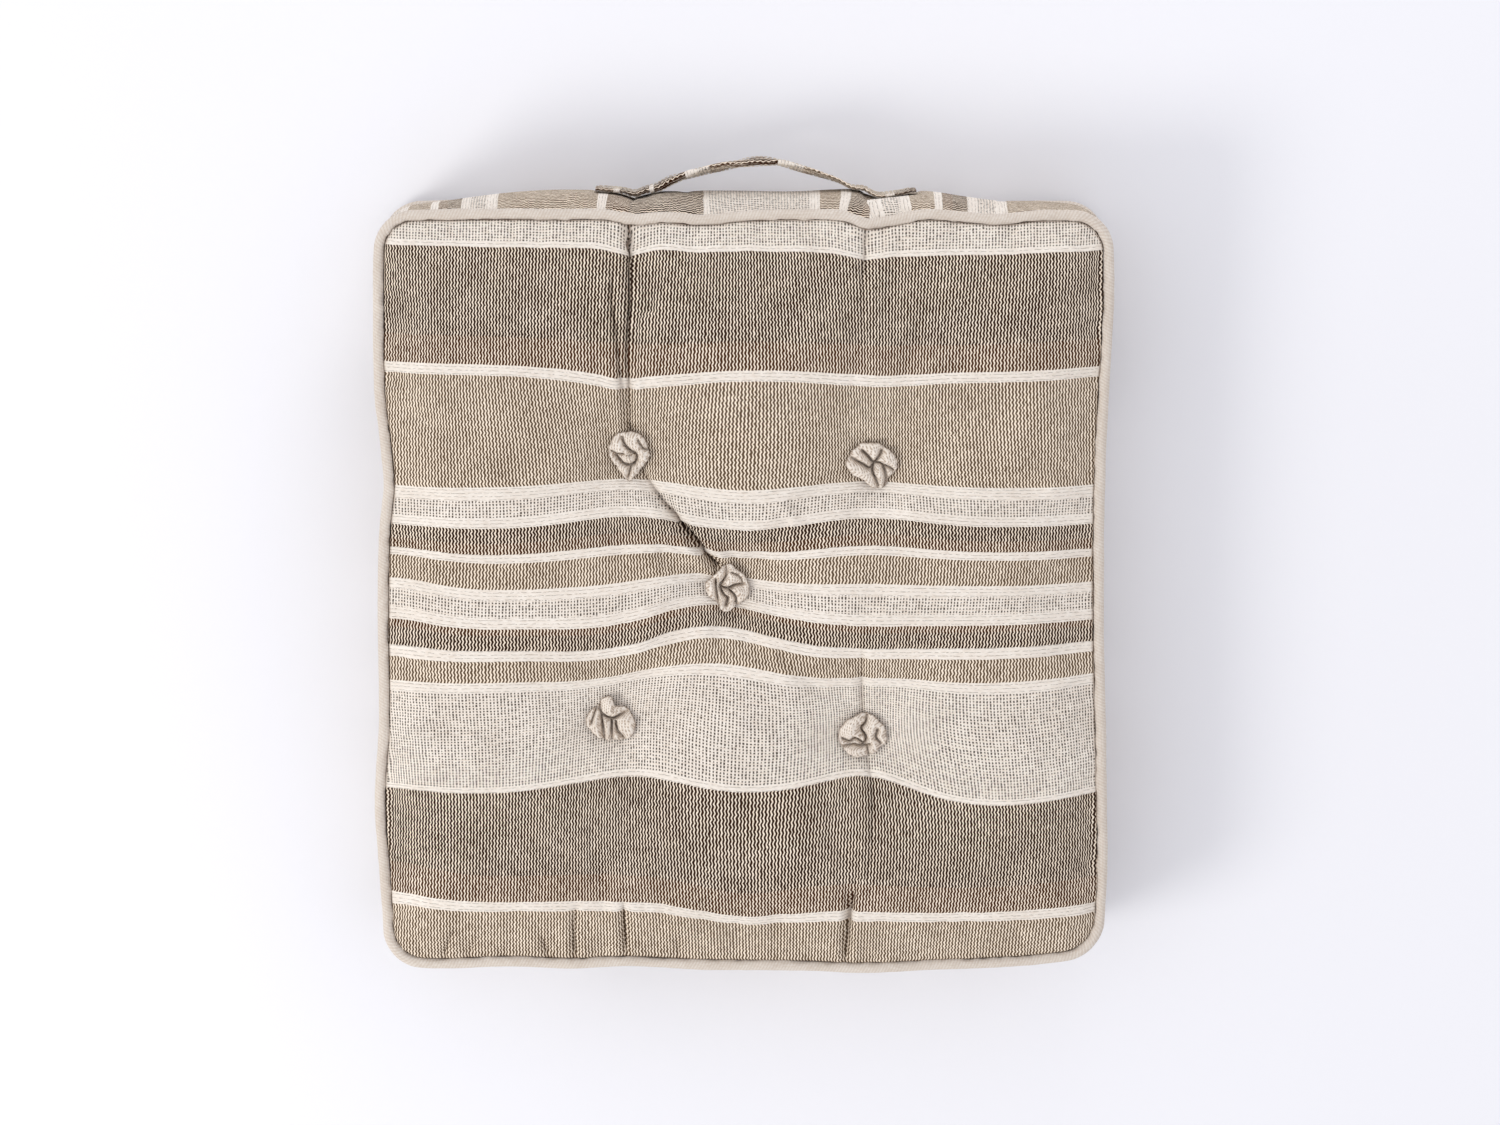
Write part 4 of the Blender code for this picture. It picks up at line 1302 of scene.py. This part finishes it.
def fold_shape(places, folds):
    """Distance between folds, their depth, the steps across them, and their painted shade."""
    apart = np.full(places.shape[:-1], 1e9)
    depth, step, soil = np.zeros((3, *places.shape[:-1]))
    for fold_depth, rise, stops in folds:
        route = route_through([(*stop, 1.0) for stop in stops], FOLD_STEPS)
        nearest, _, _, left, _ = nearest_on_route(places, route)
        size = fold_depth / FULL_FOLD
        apart = np.minimum(apart, nearest / size)
        # painted shade along each fold's line
        soil = np.maximum(soil, 0.72 * size * np.exp(-((nearest / FOLD_LINE) ** 1.4)))
        groove = 1.7 * fold_depth * MM * np.exp(-((nearest / FOLD_GROOVE) ** 1.2))
        depth = np.maximum(depth, groove)
        step += 0.5 * rise * MM * np.tanh(left / FOLD_STEP) * np.exp(-nearest / 0.0040)
    return apart, depth, step, np.minimum(soil, 1)


def heights_under(surface, places):
    """Heights of a fine grid of world points under these world places."""
    flat = surface.reshape(-1, 3)
    middle = places.reshape(-1, 2).mean(0)
    near = flat[(np.abs(flat[:, :2] - middle) < 0.024).all(-1)]
    gap = ((places.reshape(-1, 1, 2) - near[None, :, :2]) ** 2).sum(-1)
    weight = 1 / (gap + 1e-7) ** 2
    return ((weight * near[:, 2]).sum(-1) / weight.sum(-1)).reshape(places.shape[:-1])


def seed_of(name):
    """A seed from a piece's name."""
    return sum(ord(letter) * place for place, letter in enumerate(name, 1))


def make_rosette(name, node, design, tuft, surface, height, way, turn, material):
    """One puff of gathered cloth, on the seat (way 1) or under it (way -1)."""
    angle = np.arange(ROSETTE_AROUND) * math.tau / ROSETTE_AROUND
    out = np.linspace(0, 1, ROSETTE_RINGS + 1)[1:] ** 0.85
    seed = seed_of(name)
    shape = ROSETTE_AROUND, ROSETTE_RINGS
    ragged = 1 + 0.035 * smooth_noise(shape[:1], 3.2, seed + 1, ring=True)
    crumple = smooth_noise(shape, 5, seed, ring=True)
    fine = smooth_noise(shape, 2.6, seed + 2, ring=True)
    spoke = np.where(out < ROSETTE_TURN, out / ROSETTE_TURN, 1 - 1.1 * (out - ROSETTE_TURN))
    reach = spoke * (outline_radius(design["outline"], angle) * ragged)[:, None]
    local = np.dstack([reach * np.cos(angle)[:, None], reach * np.sin(angle)[:, None]])
    apart, depth, step, soil = fold_shape(local, design["folds"])
    inside = np.minimum(out / ROSETTE_TURN, 1)
    under = np.clip((1 - out) / (1 - ROSETTE_TURN), 0, 1)
    dome = (0.28 + 0.72 * (1 - inside**3) ** 0.6) * under**0.8
    puff = height * dome * (1 - 0.58 * np.exp(-apart / FOLD_SLOPE))
    puff = puff - depth * dome**0.5 + (1.3 * step + 0.0009 * crumple + 0.0004 * fine) * dome
    spin = np.array([[math.cos(turn), -math.sin(turn)], [math.sin(turn), math.cos(turn)]])
    places = local @ spin.T + tuft + MIDDLE
    ground = heights_under(surface, places)
    # the rim tucks in under the puff, onto the cover
    upper_z = 0.5 * (ground + ground[:, -1].mean()) + way * puff
    upper_z[:, -1] = ground[:, -1]
    upper_z = way * np.maximum(way * upper_z, way * ground + 2 * ROSETTE_GAP)
    upper = np.dstack([places, upper_z])
    lower = np.dstack([places, ground + way * ROSETTE_GAP])[:, ::3]
    tips = np.array([[*(tuft + MIDDLE), part[:, 0, 2].mean()] for part in (upper, lower)])
    points = np.concatenate([upper.reshape(-1, 3), lower.reshape(-1, 3), tips])
    rings, low_rings = upper.shape[1], lower.shape[1]
    first = ROSETTE_AROUND * rings
    spokes = np.arange(ROSETTE_AROUND)
    here, low_here = spokes * rings, first + spokes * low_rings
    after, low_after = np.roll(here, -1), np.roll(low_here, -1)
    top_tip, low_tip = (np.full(ROSETTE_AROUND, len(points) - back) for back in (2, 1))
    rim = [after + rings - 1, here + rings - 1, low_here + low_rings - 1, low_after + low_rings - 1]
    faces = [
        *grid_faces(ROSETTE_AROUND, rings, closed_columns=True, flip=True),
        *grid_faces(ROSETTE_AROUND, low_rings, first, closed_columns=True),
        *np.stack([here, after, top_tip], -1),
        *np.stack([low_after, low_here, low_tip], -1),
        *np.stack(rim, -1),
    ]
    faces = [face[::way] for face in faces]
    # the weave follows each fold: its coordinates climb with the puff
    climb = np.dstack([puff * math.cos(seed), puff * math.sin(seed)]) * 0.9
    # painted shade: darker in the folds, varied by the crumples, and a dark outline where the rim
    # tucks under
    soil = np.maximum(soil * (0.75 + 0.35 * crumple), eased((out / ROSETTE_TURN - 0.93) / 0.09))
    skin = np.dstack([local + climb, np.clip(soil, 0, 1)])
    hidden = np.pad(local, ((0, 0), (0, 0), (0, 1)))[:, ::3]
    cloth = np.concatenate([skin.reshape(-1, 3), hidden.reshape(-1, 3), np.zeros((2, 3))])
    piece = mesh_piece(name, points, faces, material, cloth)
    place_piece(piece, "rosette_cloth", node)


def make_rosettes(seat, underside, material):
    for number, design, tuft in zip(TUFT_NUMBERS, ROSETTES, TUFTS):
        make_rosette(
            f"seat_rosette_{number}", f"top_rosette_{number}", design, tuft, seat,
            ROSETTE_HEIGHT, 1, 0.0, material,
        )
        make_rosette(
            f"underside_rosette_{number}", f"bottom_rosette_{number}",
            ROSETTES[number % TUFT_COUNT], tuft, underside,
            ROSETTE_FLAT_HEIGHT, -1, 1.3 * number, material,
        )


def make_twines(material):
    for number in TUFT_NUMBERS:
        low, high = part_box(f"tuft_twine_{number}")
        line = np.array([
            ((low.x + high.x) / 2, (low.y + high.y) / 2, z) for z in np.linspace(low.z, high.z, 90)
        ])
        twine = twisted_cord(
            f"waxed_twine_{number}", line, (1.0, 0.0, 0.0), (0.0, 1.0, 0.0),
            (high.x - low.x) / 2, 2, 14, material, False,
        )
        place_piece(twine, "twine", f"tuft_twine_{number}")


# ---- strap handle

# The strap's route: (x, reach out from its root)
STRAP_ROUTE = in_mm(
    (-62.6, 0), (-50, 5.6), (-35, 10.2), (-10, 16), (15, 19.2), (25, 18.4), (40, 14.2), (60, 8),
    (81.6, 0),
)
STRAP_STRIPES = (
    ("umber", 0.012), ("ridge", 0.005), ("walnut", 0.021), ("ridge", 0.003), ("walnut", 0.0235),
    ("ridge", 0.009), ("open", 0.008), ("umber", 0.026), ("walnut", 0.021), ("ridge", 0.012),
    ("open", 0.006), ("taupe", 0.060), ("ridge", 0.006), ("walnut", 0.060),
)
# How far the strap leans over, how thick it is and how free of the band: (x, value)
STRAP_LEAN = ((-0.13, 0.0), (-0.07, 0.0), (-0.048, -0.02), (-0.036, 0.13), (-0.008, 0.14),
              (0.003, -0.01), (0.018, 0.0), (0.030, 0.13), (0.060, 0.10), (0.080, 0.0), (0.13, 0.0))
STRAP_THICKNESS = in_mm(
    (-130, 2.8), (-75, 2.6), (-55, 4.2), (-40, 4), (-30, 3), (-10, 3.4), (2, 4.2), (18, 4.2),
    (30, 3), (50, 2.5), (75, 1.8), (130, 1.3),
)
STRAP_FREE = (
    (-0.13, 0.0), (-0.064, 0.0), (-0.05, 1.0), (0.06, 1.0), (0.082, 0.1), (0.13, 0.0),
)
TAB_DENTS = {"left": 0.0006, "right": 0.0016}  # how far the sewn tabs press into the band
STRAP_GAP = 0.0002
STRAP_FREE_REACH = 0.006  # how far out the strap is when it hangs quite free
STRAP_STATIONS = 300
STRAP_AROUND = 32
STITCH_ROW = 0.74  # of the strap's half height, from its middle to its rows of stitches
STITCH_PITCH = 0.0030
STITCH_LENGTH = 0.0024
STITCH_RADIUS = 0.00032
STITCH_SIDES = 6
STITCH_PROFILE = ((0.0, 0.35), (0.12, 0.85), (0.5, 1.0), (0.88, 0.85), (1.0, 0.35))


def strap_line(band_face):
    """The strap's middle line in plan, from the end of one tab to the end of the other."""
    left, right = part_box("handle_tab_left"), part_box("handle_tab_right")
    root_y = (left[0].y + left[1].y) / 2
    x = np.linspace(left[0].x, right[1].x, 400)
    between = (x > STRAP_ROUTE[0][0]) & (x < STRAP_ROUTE[-1][0])
    reach = between * np.maximum(through(STRAP_ROUTE, x), 0)
    lying = band_reach(band_face, x) + through(STRAP_THICKNESS, x) / 2 + STRAP_GAP
    free = eased(reach / STRAP_FREE_REACH)
    y = np.maximum(lying * (1 - free) + (root_y + reach) * free, lying)
    for _ in range(6):  # smooths the bends
        y[1:-1] = (y[:-2] + 2 * y[1:-1] + y[2:]) / 4
    distance = run_along(np.stack([x, y], -1))
    even = np.linspace(0, distance[-1], STRAP_STATIONS)
    return np.stack([np.interp(even, distance, x), np.interp(even, distance, y)], -1), even


def band_reach(band_face, x):
    """The furthest that the back band comes out, at the strap's height, at each x."""
    low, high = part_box("handle_tab_left")
    flat = band_face.reshape(-1, 3)
    flat = flat[(flat[:, 1] > MIDDLE[1] + HALF_Y) & (flat[:, 2] > low.z) & (flat[:, 2] < high.z)]
    flat = flat[np.argsort(flat[:, 0])]
    window = 36  # points of the band on each side
    reach = np.array([
        flat[max(edge - window, 0) : edge + window, 1].max()
        for edge in np.searchsorted(flat[:, 0], x)
    ])
    side = 7
    spread = np.full(2 * side + 1, 1 / (2 * side + 1))
    return np.maximum(reach, np.convolve(np.pad(reach, side, mode="edge"), spread, "valid"))


def strap_section(line):
    """The strap's frame at each station: outward, upward and thickness."""
    tangent = unit(np.gradient(line, axis=0))
    lean = through(STRAP_LEAN, line[:, 0])
    outward = np.stack([-tangent[:, 1], tangent[:, 0]], -1)
    across = np.column_stack([outward * np.cos(lean)[:, None], -np.sin(lean)])
    up = np.column_stack([outward * np.sin(lean)[:, None], np.cos(lean)])
    return across, up, through(STRAP_THICKNESS, line[:, 0])


def make_strap(band_face, material, thread):
    """The handle: one folded strip of the cover's cloth, from tab to tab."""
    low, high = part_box("handle_grip")
    middle_z, half = (low.z + high.z) / 2, (high.z - low.z) / 2
    line, even = strap_line(band_face)
    across, up, thickness = strap_section(line)
    count = len(line)
    shape = count, STRAP_AROUND
    angle = np.arange(STRAP_AROUND) * math.tau / STRAP_AROUND
    tall = np.sign(np.cos(angle)) * np.abs(np.cos(angle)) ** 0.45
    thick = np.sign(np.sin(angle)) * np.abs(np.sin(angle)) ** 0.55
    face = np.sign(thick)
    lumps = smooth_noise(shape, 9, 71) + 0.5 * smooth_noise(shape, 3, 72)
    edge_wave = smooth_noise(shape[:1], 14, 73) * 0.0007
    lap = 0.0005 * eased((tall - 0.05) / 0.10) * (thick > 0)
    seam = -0.0005 * np.exp(-(((np.abs(tall) - STITCH_ROW) / 0.05) ** 2)) * face
    free = eased(through(STRAP_FREE, line[:, 0]))[:, None]
    part = thick * thickness[:, None] / 2 + lap + seam + (0.0002 + 0.0004 * free) * lumps * face
    part = np.maximum(part, -thickness[:, None] / 2 - 0.0004 * free * np.abs(lumps))
    height = tall * (half + edge_wave[:, None])
    centre = np.column_stack([line, np.full(count, middle_z)])
    rings = centre[:, None] + across[:, None] * part[..., None] + up[:, None] * height[..., None]
    section = np.linalg.norm(np.diff(rings, axis=1), axis=-1).mean(0)
    girth = np.broadcast_to(np.concatenate([[0], np.cumsum(section)]), shape)
    cloth = np.dstack([girth, np.broadcast_to(even[:, None], shape)])
    strap = tube_piece("strap_handle", rings, material, cloth)
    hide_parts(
        "handle_grip", "handle_leg_left", "handle_leg_right",
        "handle_tab_left", "handle_tab_right",
    )
    bend_with_handle(strap)

    def on_strap(place, level, side):
        k = place / even[-1] * (count - 1)
        i, t = int(k), k - int(k)
        base = centre[i] * (1 - t) + centre[i + 1] * t + up[i] * level
        return base + across[i] * (side * thickness[i] / 2 + (0.0003 if side > 0 else -0.0001))

    stitches = [
        [on_strap(place + part, level * half, side) for part in (0, STITCH_LENGTH)]
        for level in (-STITCH_ROW, STITCH_ROW)
        for side in (-1, 1)
        for place in np.arange(0.002, even[-1] - 0.004, STITCH_PITCH)
    ]
    topstitch = stitch_piece("strap_topstitch", stitches, thread)
    bend_with_handle(topstitch)
    for side in ("left", "right"):
        make_cross_stitch(side, line, thickness, middle_z, thread)


def bend_with_handle(piece):
    """Bakes the piece's transform into its mesh."""
    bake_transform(piece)


def stitch_piece(name, stitches, material):
    """Short rounded stitches of thread, each between its two ends."""
    points, faces = [], []
    turns = np.arange(STITCH_SIDES)[:, None] * math.tau / STITCH_SIDES
    rings = len(STITCH_PROFILE)
    for start, end in stitches:
        run = end - start
        way = unit(run)
        side = unit(np.cross(way, [0.0, 0.0, 1.0] if abs(way[2]) < 0.9 else [1.0, 0.0, 0.0]))
        spokes = side * np.cos(turns) + np.cross(way, side) * np.sin(turns)
        first = len(points) * STITCH_SIDES
        for share, width in STITCH_PROFILE:
            points.append(start + run * share + spokes * STITCH_RADIUS * width)
        faces += [*grid_faces(rings, STITCH_SIDES, first, closed_rows=True, flip=True)]
        last = first + (rings - 1) * STITCH_SIDES
        faces += [range(first + STITCH_SIDES - 1, first - 1, -1), range(last, last + STITCH_SIDES)]
    return mesh_piece(name, points, faces, material)


def make_cross_stitch(side, line, thickness, middle_z, material):
    """The sewn box and cross that holds one end of the strap on the band."""
    low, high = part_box("handle_stitches_" + side)
    middle_x, half_x, half_z = (low.x + high.x) / 2, (high.x - low.x) / 2, (high.z - low.z) / 2
    corners = np.array([(-1, -1), (1, -1), (1, 1), (-1, 1)]) * (half_x, half_z)
    runs = [(corners[a], corners[b]) for a, b in ((0, 1), (1, 2), (2, 3), (3, 0), (0, 2), (1, 3))]
    stitches = []
    for start, end in runs:
        count = int(np.linalg.norm(end - start) / STITCH_PITCH)
        for k in range(count):
            pair = []
            for share in (0.12, 0.88):
                x, z = start + (end - start) * (k + share) / count
                y = np.interp(middle_x + x, line[:, 0], line[:, 1] + thickness / 2)
                pair.append(np.array([middle_x + x, y + 0.0006, middle_z + z]))
            stitches.append(pair)
    piece = stitch_piece(f"box_stitch_{side}", stitches, material)
    place_piece(piece, "sewing_thread", "handle_stitches_" + side)


# ---- assembly


def main():
    make_camera()
    make_lights()
    make_floor()
    cover_cloth = striped_cloth("striped_cotton", STRIPES)
    piping_cloth = striped_cloth("piping_cotton", PIPING_STRIPES, PIPING_DYE)
    rosette_cloth = striped_cloth("rosette_cotton", ROSETTE_STRIPES)
    strap_cloth = striped_cloth("strap_cotton", STRAP_STRIPES)
    cord_cotton = plain_cloth("cord_cotton", (0.86, 0.83, 0.77), (0.70, 0.66, 0.59), 0.0009)
    ticking = plain_cloth("ticking_cotton", (0.84, 0.80, 0.73), (0.70, 0.65, 0.57), 0.0008)
    wadding = plain_cloth("cotton_wadding", (0.90, 0.88, 0.83), (0.78, 0.75, 0.69), 0.0031, 0.0009)
    twine_fibre = plain_cloth("waxed_twine", (0.70, 0.63, 0.53), (0.48, 0.41, 0.33), 0.0006)
    thread_fibre = plain_cloth("sewing_cotton", (0.78, 0.71, 0.61), (0.58, 0.50, 0.41), 0.0005)
    plan, top, bottom, band = settled_cover()
    seat, seat_under = make_seat(plan, top, cover_cloth)
    underside, underside_over = make_underside(plan, bottom, cover_cloth)
    band_face = make_bands(band, cover_cloth)
    make_inner_bag(seat_under, underside_over, band, ticking)
    make_filling(plan, seat_under, underside_over, wadding)
    for side, panel in (("top", top), ("bottom", bottom)):
        make_piping(side, seam_of(panel), piping_cloth)
        make_piping_cord(side, seam_of(panel), cord_cotton)
    make_rosettes(seat, underside, rosette_cloth)
    make_twines(twine_fibre)
    make_strap(band_face, strap_cloth, thread_fibre)


main()
